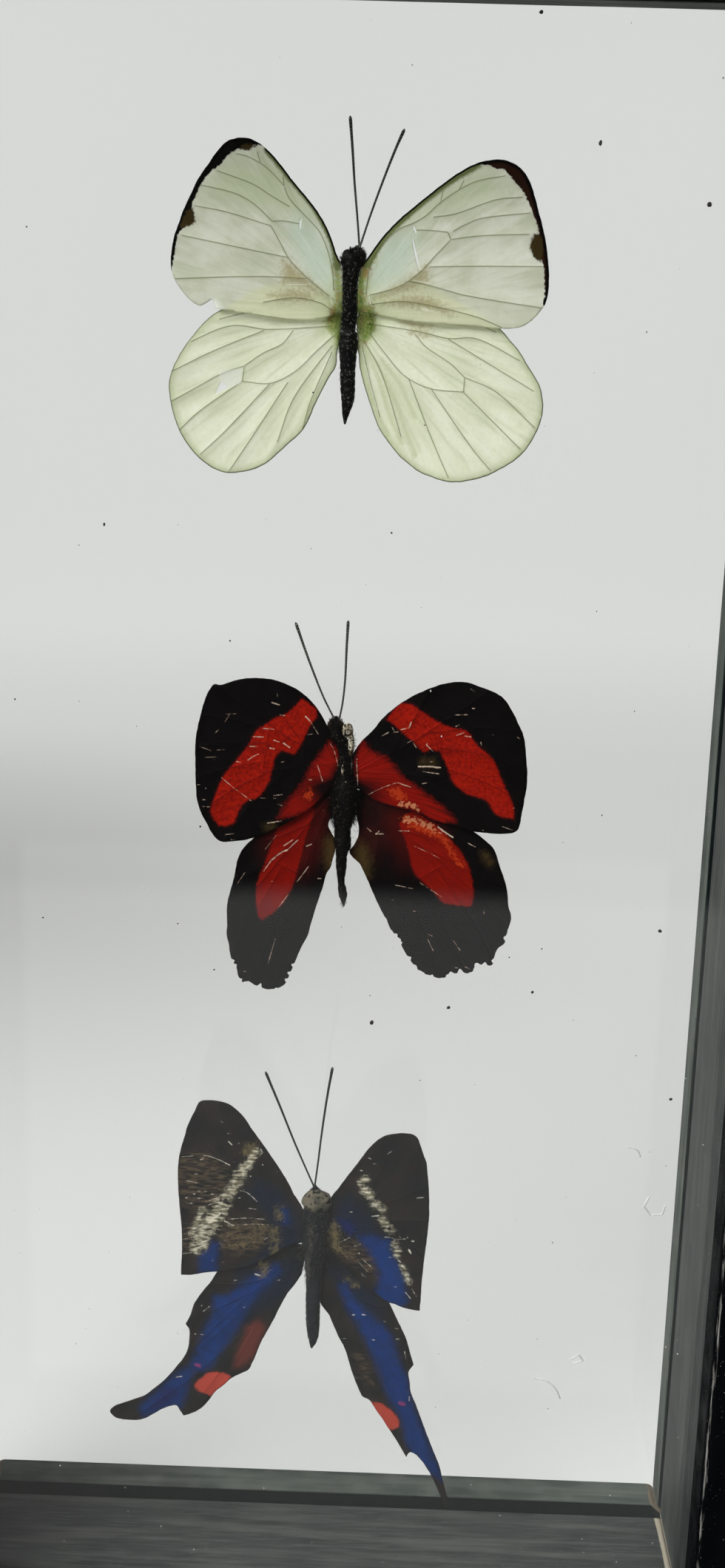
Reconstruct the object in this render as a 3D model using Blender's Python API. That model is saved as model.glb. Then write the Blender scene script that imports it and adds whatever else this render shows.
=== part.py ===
"""Framed butterfly display box: three spread butterflies between two panes in a deep black wooden frame.

The box stands upright on its bottom rail. +X is to the right, +Y goes into the box from its front
and +Z is up. The origin is the middle of the bottom face. Lengths are in millimetres up to the
point where MM turns them into metres.
"""

import math
from dataclasses import dataclass

import bmesh
import bpy
from mathutils import Matrix

MM = 0.001

# Driving dimensions of the case, in millimetres
OPENING_WIDTH = 134.0  # clear opening between the side rails
OPENING_HEIGHT = 280.0
RAIL_WIDTH = 16.0  # face width of a rail, from the opening outwards
RABBET = 4.0  # how far the lip, panes, liners and strips stand in from the rabbet's wall
LIP_DEPTH = 8.6  # the layers of the case, front to back
FRONT_PANE = 3.0
LINER_DEPTH = 29.7
BACK_PANE = 3.5
STRIP_DEPTH = 7.2
LIP_ARRIS = 1.6  # rounded edge along the front of the opening
OUTER_ARRIS = 1.2
STRIP_ARRIS = 1.2
GAP = 0.3  # clearance between touching pieces
HALF_GAP = GAP / 2
MITRE_GAP = 0.2

# Driving dimensions of the specimens, in millimetres
PANE_TO_WING = 15.0  # from the back pane's face to the middle of the spread wings
WING_THICKNESS = 0.3
WING_STEP = 0.4  # forewing in front of this plane, hindwing as far behind it
DIHEDRAL = math.radians(2.0)  # how far the wings rise towards the front
OUTLINE_STEPS = 3  # straight pieces between two outline points
FEELER_RADIUS = 0.17
FEELER_GROWTH = 1.5  # club width over shaft width
LEG_RADIUS = 0.24
POST_RADIUS = 1.2

# The layers' faces along Y, from the front face of the lip at -DEPTH / 2
DEPTH = LIP_DEPTH + FRONT_PANE + LINER_DEPTH + BACK_PANE + STRIP_DEPTH
LIP_FRONT = -DEPTH / 2
LIP_BACK = LIP_FRONT + LIP_DEPTH
LINER_FRONT = LIP_BACK + FRONT_PANE
LINER_BACK = LINER_FRONT + LINER_DEPTH
STRIP_FRONT = LINER_BACK + BACK_PANE
STRIP_BACK = STRIP_FRONT + STRIP_DEPTH
WING_PLANE = LINER_BACK - PANE_TO_WING
OPENING_MIDDLE = RAIL_WIDTH + OPENING_HEIGHT / 2

CORNER = True  # marks an outline point with a sharp corner

# Outlines of the spread wings, in (x, z) millimetres from each specimen's thorax. Each starts at
# the root, runs along the front edge to the tip, round the outer edge and back along the inner edge.
WHITE_FOREWING_LEFT = (
    (-2.3, 6.5), (-2.5, 8.3), (-3.2, 10.6), (-4.3, 13.1), (-6.0, 15.7), (-8.0, 18.0),
    (-10.0, 20.2), (-12.0, 22.6), (-13.7, 24.3), (-15.3, 25.4), (-17.0, 26.0), (-18.6, 25.9),
    (-20.0, 25.4), (-21.4, 24.1), (-22.9, 22.0), (-24.4, 19.9), (-25.5, 17.7), (-26.7, 15.2),
    (-27.6, 12.8), (-28.3, 10.6), (-28.7, 8.2), (-28.7, 6.2), (-28.3, 4.8), (-27.2, 3.0),
    (-25.9, 1.6), (-24.8, 0.8), (-24.0, 0.55), (-23.2, 0.95), (-22.2, 1.6, CORNER),
    (-21.6, 0.2, CORNER), (-15.0, -0.6), (-9.0, -1.2), (-5.0, -0.9), (-2.3, 0.2),
)
WHITE_FOREWING_RIGHT = (
    (1.95, 6.0), (2.3, 8.3), (3.4, 10.2), (5.0, 12.3), (7.0, 14.4), (9.4, 16.5), (12.0, 18.6),
    (14.4, 20.5), (16.8, 22.1), (19.0, 23.2), (21.0, 23.7), (22.8, 23.8), (24.4, 23.4),
    (25.9, 22.5), (27.1, 21.0), (27.9, 19.2), (28.6, 17.0), (29.5, 14.3), (30.2, 11.8),
    (30.7, 9.0), (31.0, 6.4), (31.0, 4.2), (30.6, 2.3), (29.6, 0.8), (28.2, -0.6),
    (26.9, -1.3), (25.4, -1.6), (24.0, -1.65), (18.0, -1.3), (11.0, -1.0), (6.0, -0.4),
    (1.95, 0.4),
)
WHITE_HINDWING_LEFT = (
    (-2.3, -0.6), (-3.6, 1.8), (-6.0, 3.9), (-9.0, 4.7), (-12.0, 4.4), (-15.0, 3.5),
    (-18.0, 1.8), (-20.5, 0.2), (-22.3, -0.9), (-23.9, -2.4), (-25.4, -4.2), (-26.8, -6.1),
    (-28.0, -8.2), (-28.8, -10.2), (-29.1, -12.0), (-28.9, -14.2), (-28.4, -16.5),
    (-27.5, -18.9), (-26.3, -21.0), (-24.9, -22.7), (-23.2, -24.2), (-21.4, -25.2),
    (-19.6, -25.65), (-17.6, -25.5), (-15.4, -25.0), (-13.4, -24.0), (-11.4, -22.3),
    (-9.4, -20.4), (-7.7, -18.8), (-6.7, -17.2), (-5.7, -14.8), (-4.5, -12.2), (-3.3, -9.9),
    (-2.3, -8.2), (-2.25, -6.5), (-2.3, -3.5),
)
WHITE_HINDWING_RIGHT = (
    (1.95, -1.0), (3.2, 1.9), (6.0, 4.3), (9.0, 5.2), (12.0, 4.8), (15.0, 3.4), (18.0, 1.9),
    (21.0, 0.2), (23.3, -1.3), (24.3, -2.2), (25.6, -3.6), (26.9, -5.0), (28.2, -6.9),
    (29.6, -8.9), (30.6, -10.7), (31.1, -12.6), (31.2, -14.4), (30.8, -16.4), (30.1, -18.2),
    (29.1, -20.0), (27.7, -21.7), (26.2, -22.9), (24.4, -24.0), (22.4, -25.0), (19.8, -25.75),
    (17.6, -26.1), (16.0, -26.0), (13.8, -25.4), (11.8, -24.7), (10.0, -23.5), (8.2, -22.0),
    (6.7, -20.3), (5.3, -18.5), (4.2, -16.4), (3.4, -14.2), (2.6, -12.0), (1.9, -9.8),
    (1.4, -7.6), (1.4, -5.6), (1.9, -3.6),
)
RED_FOREWING_LEFT = (
    (-1.0, 4.6), (-1.6, 6.4), (-2.3, 7.8), (-3.0, 9.0), (-3.9, 10.6), (-5.0, 12.1),
    (-6.4, 13.6), (-8.2, 14.9), (-10.2, 15.8), (-12.4, 16.4), (-14.6, 16.6), (-17.0, 16.4),
    (-19.2, 15.8), (-21.0, 15.25), (-21.8, 15.4), (-22.6, 14.5), (-23.4, 12.8), (-24.1, 10.2),
    (-24.7, 7.6), (-25.0, 5.0), (-25.0, 1.5), (-24.9, -2.0), (-24.7, -4.6), (-24.1, -6.7),
    (-23.0, -9.0), (-22.0, -10.8), (-20.7, -11.95), (-18.6, -12.0), (-16.0, -11.6),
    (-13.7, -10.7), (-11.6, -9.7), (-9.2, -8.4), (-6.6, -6.8), (-4.0, -4.6), (-1.0, -0.6),
)
RED_FOREWING_RIGHT = (
    (2.35, 3.6), (2.8, 5.8), (3.8, 7.0), (5.1, 8.4), (6.4, 10.2), (8.0, 11.8), (10.0, 13.4),
    (12.4, 14.9), (15.0, 16.1), (17.4, 16.8), (20.0, 17.0), (22.6, 16.3), (25.0, 15.5),
    (26.6, 14.5), (28.0, 12.6), (29.2, 10.4), (30.3, 8.0), (30.8, 5.0), (31.15, 2.0),
    (31.2, -0.5), (30.9, -3.0), (30.6, -5.4), (30.3, -7.4), (29.8, -8.4), (27.6, -9.0),
    (25.2, -9.0), (23.4, -8.9), (22.2, -8.7), (19.4, -8.0), (16.0, -7.2), (12.6, -5.8),
    (9.0, -5.0), (5.5, -4.0), (2.35, -1.8),
)
RED_HINDWING_LEFT = (
    (-1.0, -1.8), (-3.5, -0.6), (-6.5, -1.6), (-9.5, -4.6), (-12.4, -8.4), (-14.2, -10.6),
    (-15.3, -11.8), (-16.5, -13.0), (-17.4, -14.6), (-17.9, -16.2), (-18.3, -18.6),
    (-18.9, -21.0), (-19.4, -23.2), (-19.5, -25.0), (-19.4, -27.2), (-19.5, -29.2),
    (-19.1, -30.8), (-18.9, -32.4), (-18.5, -33.8), (-17.7, -35.3), (-17.4, -37.2),
    (-16.8, -37.9), (-15.6, -37.7), (-14.4, -38.4), (-13.0, -39.0), (-11.6, -39.3),
    (-10.2, -38.8), (-9.0, -37.8), (-8.4, -36.2), (-7.6, -34.2), (-7.0, -32.6), (-6.3, -30.8),
    (-5.4, -29.0), (-4.9, -27.0), (-4.3, -24.6), (-3.6, -22.2), (-2.9, -19.8), (-2.35, -17.6),
    (-1.7, -16.4), (-1.3, -14.6), (-1.2, -12.8), (-1.35, -11.2), (-1.9, -10.0), (-2.3, -8.6),
    (-2.0, -7.0), (-1.3, -5.0), (-1.0, -3.4),
)
RED_HINDWING_RIGHT = (
    (2.35, -3.0), (5.0, -1.4), (9.0, -1.9), (13.0, -3.9), (17.0, -6.2), (20.5, -7.9),
    (22.6, -9.0), (23.6, -9.7), (24.9, -10.7), (26.0, -11.7), (26.7, -13.0), (27.2, -14.6),
    (28.0, -16.6), (28.6, -18.4), (29.0, -20.4), (29.2, -22.2), (29.75, -24.0), (29.5, -25.8),
    (29.0, -27.8), (28.8, -29.0), (27.8, -29.9), (27.1, -31.8), (26.8, -33.0), (25.4, -33.0),
    (24.4, -33.2), (23.3, -34.6), (21.6, -34.7), (20.2, -35.0), (19.1, -35.6), (17.8, -35.9),
    (16.2, -35.5), (14.4, -35.0), (13.2, -33.6), (12.2, -32.3), (11.2, -30.6), (10.4, -28.9),
    (9.3, -27.8), (8.4, -26.0), (7.4, -24.2), (6.4, -22.2), (5.4, -20.0), (4.4, -17.8),
    (3.3, -15.7), (2.3, -14.7), (1.75, -13.6), (2.4, -12.3), (2.9, -10.8), (3.05, -9.0),
    (2.8, -7.2), (2.4, -5.6),
)
BLUE_FOREWING_LEFT = (
    (-2.45, 4.0), (-2.5, 6.2), (-3.0, 7.8), (-3.8, 9.8), (-5.0, 12.2), (-6.5, 14.6),
    (-8.2, 17.2), (-9.9, 19.8), (-11.2, 21.8), (-12.4, 23.6), (-13.7, 25.1), (-15.2, 26.3),
    (-16.8, 26.9), (-18.6, 27.05), (-20.5, 26.7), (-21.3, 25.2), (-22.2, 23.2), (-22.7, 22.0),
    (-23.2, 20.0), (-23.9, 17.4), (-24.3, 14.8), (-24.35, 11.6), (-24.2, 8.0), (-23.9, 4.4),
    (-23.65, 1.0), (-23.6, -2.4), (-23.7, -5.2), (-23.75, -7.6, CORNER), (-21.6, -7.45),
    (-19.4, -7.1), (-17.2, -6.8), (-13.5, -6.2), (-9.5, -4.6), (-6.0, -2.4), (-2.45, -0.5),
)
BLUE_FOREWING_RIGHT = (
    (3.45, 4.6), (3.4, 8.6), (4.6, 10.5), (6.0, 12.7), (7.4, 14.9), (8.8, 17.1), (10.0, 18.9),
    (11.4, 20.4), (12.9, 21.4), (14.6, 21.9), (16.4, 22.0), (17.7, 21.8), (18.5, 21.1),
    (19.0, 19.9), (19.5, 18.4), (20.2, 16.6), (20.5, 14.4), (20.8, 12.0), (21.0, 9.0),
    (21.1, 6.4), (21.0, 3.4), (20.8, 0.4), (20.5, -3.0), (20.3, -6.4), (20.2, -9.8),
    (20.1, -13.3, CORNER), (18.3, -13.1), (16.7, -12.7), (15.3, -12.1), (14.4, -11.9),
    (11.5, -9.9), (8.0, -7.0), (5.4, -4.2), (3.45, -1.0),
)
BLUE_HINDWING_LEFT = (
    (-2.45, -1.6), (-5.0, -1.0), (-9.0, -2.2), (-13.0, -4.0), (-16.0, -5.9), (-17.2, -7.2),
    (-18.0, -8.6), (-19.2, -10.4), (-20.6, -12.5), (-21.5, -14.1), (-22.1, -16.2),
    (-23.0, -18.1, CORNER), (-22.35, -19.2), (-22.3, -21.0), (-22.6, -23.4), (-23.4, -25.2),
    (-24.6, -26.9), (-26.0, -28.8), (-27.2, -30.2), (-28.8, -31.6), (-30.6, -33.1),
    (-32.5, -34.0), (-34.6, -34.9), (-36.3, -35.7), (-37.0, -36.6), (-36.5, -37.6),
    (-35.2, -38.3), (-33.4, -38.4), (-31.2, -38.2), (-29.4, -37.4), (-27.6, -36.2),
    (-26.0, -35.4), (-24.7, -35.25), (-24.0, -36.2), (-23.3, -37.4, CORNER), (-22.0, -36.9),
    (-20.3, -35.9), (-18.8, -34.3), (-17.4, -32.2), (-15.9, -30.7), (-14.4, -29.2),
    (-12.5, -28.2), (-11.3, -27.5), (-10.6, -26.0), (-9.9, -24.2), (-9.1, -21.8),
    (-8.0, -19.4), (-6.9, -17.2), (-5.9, -14.8), (-4.6, -12.0), (-3.6, -10.2), (-3.15, -8.6),
    (-2.8, -6.6), (-2.45, -4.6),
)
BLUE_HINDWING_RIGHT = (
    (3.3, -2.6), (6.0, -3.0), (9.5, -6.0), (12.5, -9.6), (14.4, -12.3), (15.6, -14.8),
    (16.8, -17.3), (17.9, -19.9), (18.6, -22.3), (19.4, -24.8, CORNER), (18.8, -25.8),
    (18.5, -26.8), (18.8, -28.6), (19.0, -30.4), (20.0, -33.0), (21.0, -35.6), (22.0, -38.4),
    (23.0, -41.0), (24.0, -43.5), (25.0, -46.2), (25.7, -49.0), (26.3, -51.2), (26.9, -54.2),
    (26.3, -54.9), (25.9, -53.6), (25.0, -51.4), (24.1, -49.4), (23.2, -47.6), (22.1, -45.8),
    (21.1, -44.5), (20.2, -43.6), (19.4, -43.4), (18.7, -44.5, CORNER), (17.8, -43.0),
    (16.4, -40.6), (15.0, -38.4), (13.6, -36.1), (12.3, -34.1), (11.3, -32.7), (10.2, -32.2),
    (9.6, -31.2), (8.6, -28.8), (7.7, -26.2), (7.0, -23.8), (6.3, -21.9), (5.2, -19.8),
    (4.2, -17.4), (3.3, -15.2), (2.65, -13.9), (2.3, -12.8), (2.3, -9.0), (2.5, -6.0),
    (2.9, -4.0),
)

# Stations down each body from the head to the end of the abdomen: (x, z, radius), from the thorax
WHITE_BODY = (
    (0.95, 10.4, 0.35), (0.9, 9.9, 1.0), (0.7, 9.0, 1.5), (0.4, 8.0, 1.6), (0.1, 7.1, 1.35),
    (-0.15, 5.8, 1.6), (-0.2, 3.6, 1.7), (-0.2, 1.2, 1.7), (-0.3, -1.2, 1.55),
    (-0.45, -3.0, 1.3), (-0.5, -4.6, 1.35), (-0.45, -7.0, 1.35), (-0.35, -9.5, 1.25),
    (-0.25, -12.0, 1.15), (-0.3, -13.8, 1.0), (-0.55, -15.6, 0.6), (-0.65, -17.3, 0.15),
)
RED_BODY = (
    (-1.5, 10.2, 0.3), (-1.45, 9.6, 0.9), (-1.25, 8.6, 1.2), (-0.8, 7.5, 1.0), (-0.1, 6.3, 1.1),
    (0.4, 5.0, 1.25), (0.65, 3.2, 1.35), (0.65, 1.0, 1.35), (0.65, -1.2, 1.35),
    (0.55, -3.2, 1.2), (0.35, -5.2, 1.0), (0.3, -7.2, 1.2), (0.35, -9.4, 1.35),
    (0.4, -11.4, 1.3), (0.3, -13.0, 0.95), (0.25, -15.0, 0.95), (0.25, -17.0, 0.8),
    (0.35, -19.0, 0.55), (0.5, -20.6, 0.6), (0.65, -21.8, 0.5), (0.7, -23.0, 0.12),
)
BLUE_BODY = (
    (0.1, 11.3, 0.3), (0.15, 10.8, 0.9), (0.3, 9.8, 1.7), (0.5, 8.4, 2.2), (0.55, 6.6, 2.5),
    (0.5, 4.0, 2.55), (0.5, 1.5, 2.45), (0.45, -1.0, 2.25), (0.4, -3.5, 1.9), (0.4, -6.0, 1.55),
    (0.45, -8.0, 1.45), (0.45, -11.0, 1.5), (0.45, -14.0, 1.4), (0.4, -17.0, 1.25),
    (0.3, -19.5, 0.95), (0.15, -20.9, 0.5), (0.1, -21.6, 0.15),
)


@dataclass
class Specimen:
    """One spread butterfly: its thorax in the case and its pieces' shapes, from the thorax."""

    name: str
    thorax: tuple  # (x, z) in the case
    body: tuple
    forewings: tuple  # left, right
    hindwings: tuple
    feelers: tuple
    post_drop: float  # how far the stand-off post sits below the thorax's middle
    post_reach: float  # half the thorax's depth where the post meets it
    skin: tuple
    wing_colour: tuple


SPECIMENS = (
    Specimen(
        "white", (0.1, 245.9), WHITE_BODY, (WHITE_FOREWING_LEFT, WHITE_FOREWING_RIGHT),
        (WHITE_HINDWING_LEFT, WHITE_HINDWING_RIGHT),
        (((0.9, 10.9), (0.55, 14.4), (-0.05, 19.8), (-0.5, 24.8), (-1.0, 29.7)),
         ((1.25, 10.9), (2.55, 15.0), (4.3, 20.0), (6.2, 25.0), (7.5, 28.0))),
        0.0, 1.7, (0.015, 0.014, 0.012), (0.72, 0.78, 0.62),
    ),
    Specimen(
        "red", (0.6, 169.9), RED_BODY, (RED_FOREWING_LEFT, RED_FOREWING_RIGHT),
        (RED_HINDWING_LEFT, RED_HINDWING_RIGHT),
        (((-2.0, 10.5), (-3.5, 13.4), (-5.0, 16.9), (-6.7, 21.2), (-8.5, 26.1)),
         ((-0.75, 10.2), (-0.3, 13.0), (0.0, 17.0), (0.1, 22.0), (0.25, 26.7))),
        1.0, 1.35, (0.012, 0.01, 0.012), (0.55, 0.05, 0.02),
    ),
    Specimen(
        "blue", (-2.8, 82.7), BLUE_BODY, (BLUE_FOREWING_LEFT, BLUE_FOREWING_RIGHT),
        (BLUE_HINDWING_LEFT, BLUE_HINDWING_RIGHT),
        (((-0.35, 11.7), (-1.7, 14.8), (-3.6, 19.3), (-6.2, 25.9), (-8.95, 32.6)),
         ((0.4, 11.8), (0.8, 15.6), (1.3, 21.0), (2.1, 28.0), (2.95, 33.9))),
        1.5, 2.35, (0.02, 0.02, 0.022), (0.03, 0.1, 0.4),
    ),
)

# One folded leg on the left side, in (x, y, z) from its root: root, knee, ankle and toe. The body
# has three pairs, and the right side mirrors the left.
LEG_BENDS = ((0.0, 0.0, 0.0), (-1.5, 0.9, 1.2), (-1.0, 1.7, -2.2), (-0.8, 1.5, -4.6))
LEG_HEIGHTS = (5.2, 2.4, -0.4)  # of the three roots, from the thorax
LEG_ROOT = (0.62, 0.62)  # of the thorax's radius, sideways and backwards
LEG_TOE_WIDTH = 0.55  # over the width at the root

BLACK_PAINT = (0.012, 0.013, 0.016)
LINER_GREY = (0.085, 0.095, 0.088)
PANE_TINT = (0.86, 0.93, 0.9)
CLEAR_RESIN = (0.9, 0.92, 0.9)


def clear_scene():
    for old in list(bpy.data.objects):
        bpy.data.objects.remove(old)


def new_collection(name):
    collection = bpy.data.collections.new(name)
    bpy.context.scene.collection.children.link(collection)
    return collection


def material(name, colour, roughness, metallic=0.0, alpha=1.0):
    """One Principled material, with its preview colour."""
    mat = bpy.data.materials.new(name)
    mat.use_nodes = True
    shader = mat.node_tree.nodes["Principled BSDF"]
    shader.inputs["Base Color"].default_value = (*colour, 1.0)
    shader.inputs["Roughness"].default_value = roughness
    shader.inputs["Metallic"].default_value = metallic
    shader.inputs["Alpha"].default_value = alpha
    mat.diffuse_color = (*colour, alpha)
    return mat


def add_object(name, data, collection, mat=None, parent=None):
    obj = bpy.data.objects.new(name, data)
    collection.objects.link(obj)
    if mat:
        obj.data.materials.append(mat)
    obj.parent = parent
    return obj


def scaled(point):
    return tuple(value * MM for value in point)


def poly_curve(name, points, dimensions, cyclic=False, radii=None):
    """A curve of straight pieces through points in millimetres."""
    curve = bpy.data.curves.new(name, "CURVE")
    curve.dimensions = dimensions
    spline = curve.splines.new("POLY")
    spline.points.add(len(points) - 1)
    for index, point in enumerate(points):
        padded = (*point, 0.0)[:3]
        spline.points[index].co = (*scaled(padded), 1.0)
        spline.points[index].radius = radii[index] if radii else 1.0
    spline.use_cyclic_u = cyclic
    return curve


def mesh_of(obj):
    """The closed mesh of a curve object, with its caps welded on."""
    graph = bpy.context.evaluated_depsgraph_get()
    mesh = bpy.data.meshes.new_from_object(obj.evaluated_get(graph))
    shape = bmesh.new()
    shape.from_mesh(mesh)
    bmesh.ops.remove_doubles(shape, verts=shape.verts, dist=1e-6)
    bmesh.ops.recalc_face_normals(shape, faces=shape.faces)
    shape.to_mesh(mesh)
    shape.free()
    return mesh


def meshed(obj):
    """Turns a curve object into a mesh object of the same name and place."""
    bpy.context.view_layer.update()
    mesh = mesh_of(obj)
    name, place, parent = obj.name, obj.matrix_world.copy(), obj.parent
    collection = obj.users_collection[0]
    bpy.data.objects.remove(obj)
    new = add_object(name, mesh, collection)
    new.parent = parent
    new.matrix_world = place
    return new


def rounded(corner, radius, first, last, steps=3):
    """Points of an arc about a corner's inner centre, from one angle to another, in degrees."""
    return [
        (
            corner[0] + radius * math.cos(math.radians(first + (last - first) * i / steps)),
            corner[1] + radius * math.sin(math.radians(first + (last - first) * i / steps)),
        )
        for i in range(steps + 1)
    ]


def rail_section():
    """A rail cut across, as (outwards, back) points: an L with a lip in front of the panes."""
    inner = rounded((LIP_ARRIS, LIP_FRONT + LIP_ARRIS), LIP_ARRIS, 180, 270)
    outer_x = RAIL_WIDTH - OUTER_ARRIS
    front = rounded((outer_x, LIP_FRONT + OUTER_ARRIS), OUTER_ARRIS, 270, 360)
    back = rounded((outer_x, STRIP_BACK - OUTER_ARRIS), OUTER_ARRIS, 0, 90)
    wall = [(RABBET, STRIP_BACK), (RABBET, LIP_BACK - HALF_GAP), (0.0, LIP_BACK - HALF_GAP)]
    return inner + front + back + wall


def liner_section():
    """The inner wall between the panes."""
    front, back = LINER_FRONT + HALF_GAP, LINER_BACK - HALF_GAP
    outside = RABBET - GAP
    return [(0.0, front), (outside, front), (outside, back), (0.0, back)]


def strip_section():
    """The strip that holds the back pane in, with a rounded edge towards the opening."""
    front, outside = STRIP_FRONT + HALF_GAP, RABBET - GAP
    arris = rounded((STRIP_ARRIS, STRIP_BACK - STRIP_ARRIS), STRIP_ARRIS, 90, 180)
    return [(0.0, front), (outside, front), (outside, STRIP_BACK)] + arris


# side: (outward direction along X, along Z)
SIDES = {"left": (-1, 0), "right": (1, 0), "bottom": (0, -1), "top": (0, 1)}


def frame_member(name, section, side, collection, mat):
    """A straight length of one section along one side of the opening, mitred at both ends."""
    out_x, out_z = SIDES[side]
    along = (OPENING_HEIGHT if out_x else OPENING_WIDTH) / 2
    curve = poly_curve(name, section, "2D", cyclic=True)
    curve.fill_mode = "BOTH"
    curve.extrude = along * MM
    member = meshed(add_object(name, curve, collection))
    for vertex in member.data.vertices:
        # The ends lean outwards by as much as the point is out from the opening.
        reach = along * MM + vertex.co.x - MITRE_GAP * MM
        vertex.co.z = math.copysign(reach, vertex.co.z)
    # local X points outwards, local Y back and local Z along the member
    turn = Matrix(((out_x, 0, -out_z), (0, 1, 0), (out_z, 0, out_x))).to_4x4()
    centre = (
        out_x * OPENING_WIDTH / 2 * MM,
        0.0,
        (OPENING_MIDDLE + out_z * OPENING_HEIGHT / 2) * MM,
    )
    member.matrix_world = Matrix.Translation(centre) @ turn
    member.data.materials.append(mat)
    return member


def pane(name, front, back, collection, mat):
    """A flat sheet of glass that fills the rabbet between two faces along Y."""
    size = (
        OPENING_WIDTH + 2 * (RABBET - GAP),
        back - front - GAP,
        OPENING_HEIGHT + 2 * (RABBET - GAP),
    )
    mesh = bpy.data.meshes.new(name)
    shape = bmesh.new()
    bmesh.ops.create_cube(shape, size=1.0)
    bmesh.ops.scale(shape, vec=scaled(size), verts=shape.verts)
    shape.to_mesh(mesh)
    shape.free()
    obj = add_object(name, mesh, collection, mat)
    obj.location = scaled((0.0, (front + back) / 2, OPENING_MIDDLE))
    return obj


def wing(name, outline, step, parent, collection, mat):
    """A thin flat wing of one outline, standing upright and rising a little towards its tip."""
    curve = bpy.data.curves.new(name, "CURVE")
    curve.dimensions = "2D"
    curve.fill_mode = "BOTH"
    curve.extrude = WING_THICKNESS / 2 * MM
    curve.resolution_u = OUTLINE_STEPS
    spline = curve.splines.new("BEZIER")
    spline.bezier_points.add(len(outline) - 1)
    spline.use_cyclic_u = True
    roots = (outline[0], outline[-1])
    for point, knot in zip(outline, spline.bezier_points):
        knot.co = scaled((point[0], point[1], 0.0))
        kind = "VECTOR" if point in roots or CORNER in point[2:] else "AUTO"
        knot.handle_left_type = knot.handle_right_type = kind
    obj = add_object(name, curve, collection, mat, parent)
    obj.location = (0.0, step * MM, 0.0)
    side = math.copysign(1.0, outline[0][0])
    obj.rotation_euler = (math.pi / 2, 0.0, -side * DIHEDRAL)
    return obj


def tube(name, points, radii, sides, parent, collection, mat=None):
    """A round tube whose radius follows its points, with closed ends."""
    curve = poly_curve(name, points, "3D", radii=radii)
    curve.bevel_depth = MM
    curve.bevel_resolution = sides // 2 - 2
    curve.use_fill_caps = True
    return add_object(name, curve, collection, mat, parent)


def leg_tubes(specimen, parent, collection):
    """Three pairs of legs folded under the thorax, as cutters that the body takes in."""
    for pair, height in enumerate(LEG_HEIGHTS):
        x_mid, _, radius = min(specimen.body, key=lambda station: abs(station[1] - height))
        for side in (-1, 1):
            points = [
                (
                    x_mid + side * (LEG_ROOT[0] * radius - bend[0]),
                    LEG_ROOT[1] * radius + bend[1],
                    height + bend[2],
                )
                for bend in LEG_BENDS
            ]
            radii = [
                LEG_RADIUS * (1 + (LEG_TOE_WIDTH - 1) * i / (len(points) - 1))
                for i in range(len(points))
            ]
            name = f"{specimen.name}_leg_{pair}_{'left' if side < 0 else 'right'}"
            leg = meshed(tube(name, points, radii, 6, parent, collection))
            leg.hide_render = True
            leg.display_type = "WIRE"


def body(specimen, parent, collection, mat):
    """Head, thorax and abdomen in one turned form, with the folded legs joined on."""
    cutters = new_collection(f"{specimen.name}_leg_cutters")
    leg_tubes(specimen, parent, cutters)
    points = [(x, 0.0, z) for x, z, _ in specimen.body]
    radii = [radius for _, _, radius in specimen.body]
    obj = meshed(tube(f"{specimen.name}_body", points, radii, 12, parent, collection))
    obj.data.materials.append(mat)
    obj.data.shade_smooth()
    union = obj.modifiers.new("legs", "BOOLEAN")
    union.operation = "UNION"
    union.solver = "EXACT"
    union.operand_type = "COLLECTION"
    union.collection = cutters
    return obj


def feeler(name, points, parent, collection, mat):
    """One antenna, widening into its club."""
    last = len(points) - 1
    radii = [FEELER_RADIUS * (1 + (FEELER_GROWTH - 1) * (i / last) ** 2) for i in range(last + 1)]
    upright = [(x, -WING_STEP, z) for x, z in points]
    return tube(name, upright, radii, 6, parent, collection, mat)


def stand_off(specimen, parent, collection, mat):
    """The clear post that carries the thorax on the back pane."""
    start = specimen.post_reach + GAP
    length = PANE_TO_WING - HALF_GAP - GAP - start
    mesh = bpy.data.meshes.new(f"{specimen.name}_stand_off")
    shape = bmesh.new()
    bmesh.ops.create_cone(
        shape, cap_ends=True, segments=16, radius1=POST_RADIUS * MM, radius2=POST_RADIUS * MM,
        depth=length * MM,
    )
    shape.to_mesh(mesh)
    shape.free()
    obj = add_object(mesh.name, mesh, collection, mat, parent)
    obj.rotation_euler = (math.pi / 2, 0.0, 0.0)
    centre_x = min(specimen.body, key=lambda station: abs(station[1] + specimen.post_drop))[0]
    obj.location = scaled((centre_x, start + length / 2, -specimen.post_drop))
    return obj


def build_case(collection):
    black = material("black_wood", BLACK_PAINT, 0.45)
    grey = material("liner_board", LINER_GREY, 0.8)
    glass = material("pane_glass", PANE_TINT, 0.02, alpha=0.35)
    for side in SIDES:
        frame_member(f"rail_{side}", rail_section(), side, collection, black)
        frame_member(f"liner_{side}", liner_section(), side, collection, grey)
        frame_member(f"back_strip_{side}", strip_section(), side, collection, black)
    pane("front_pane", LIP_BACK, LINER_FRONT, collection, glass)
    pane("back_pane", LINER_BACK, STRIP_FRONT, collection, glass)


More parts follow.
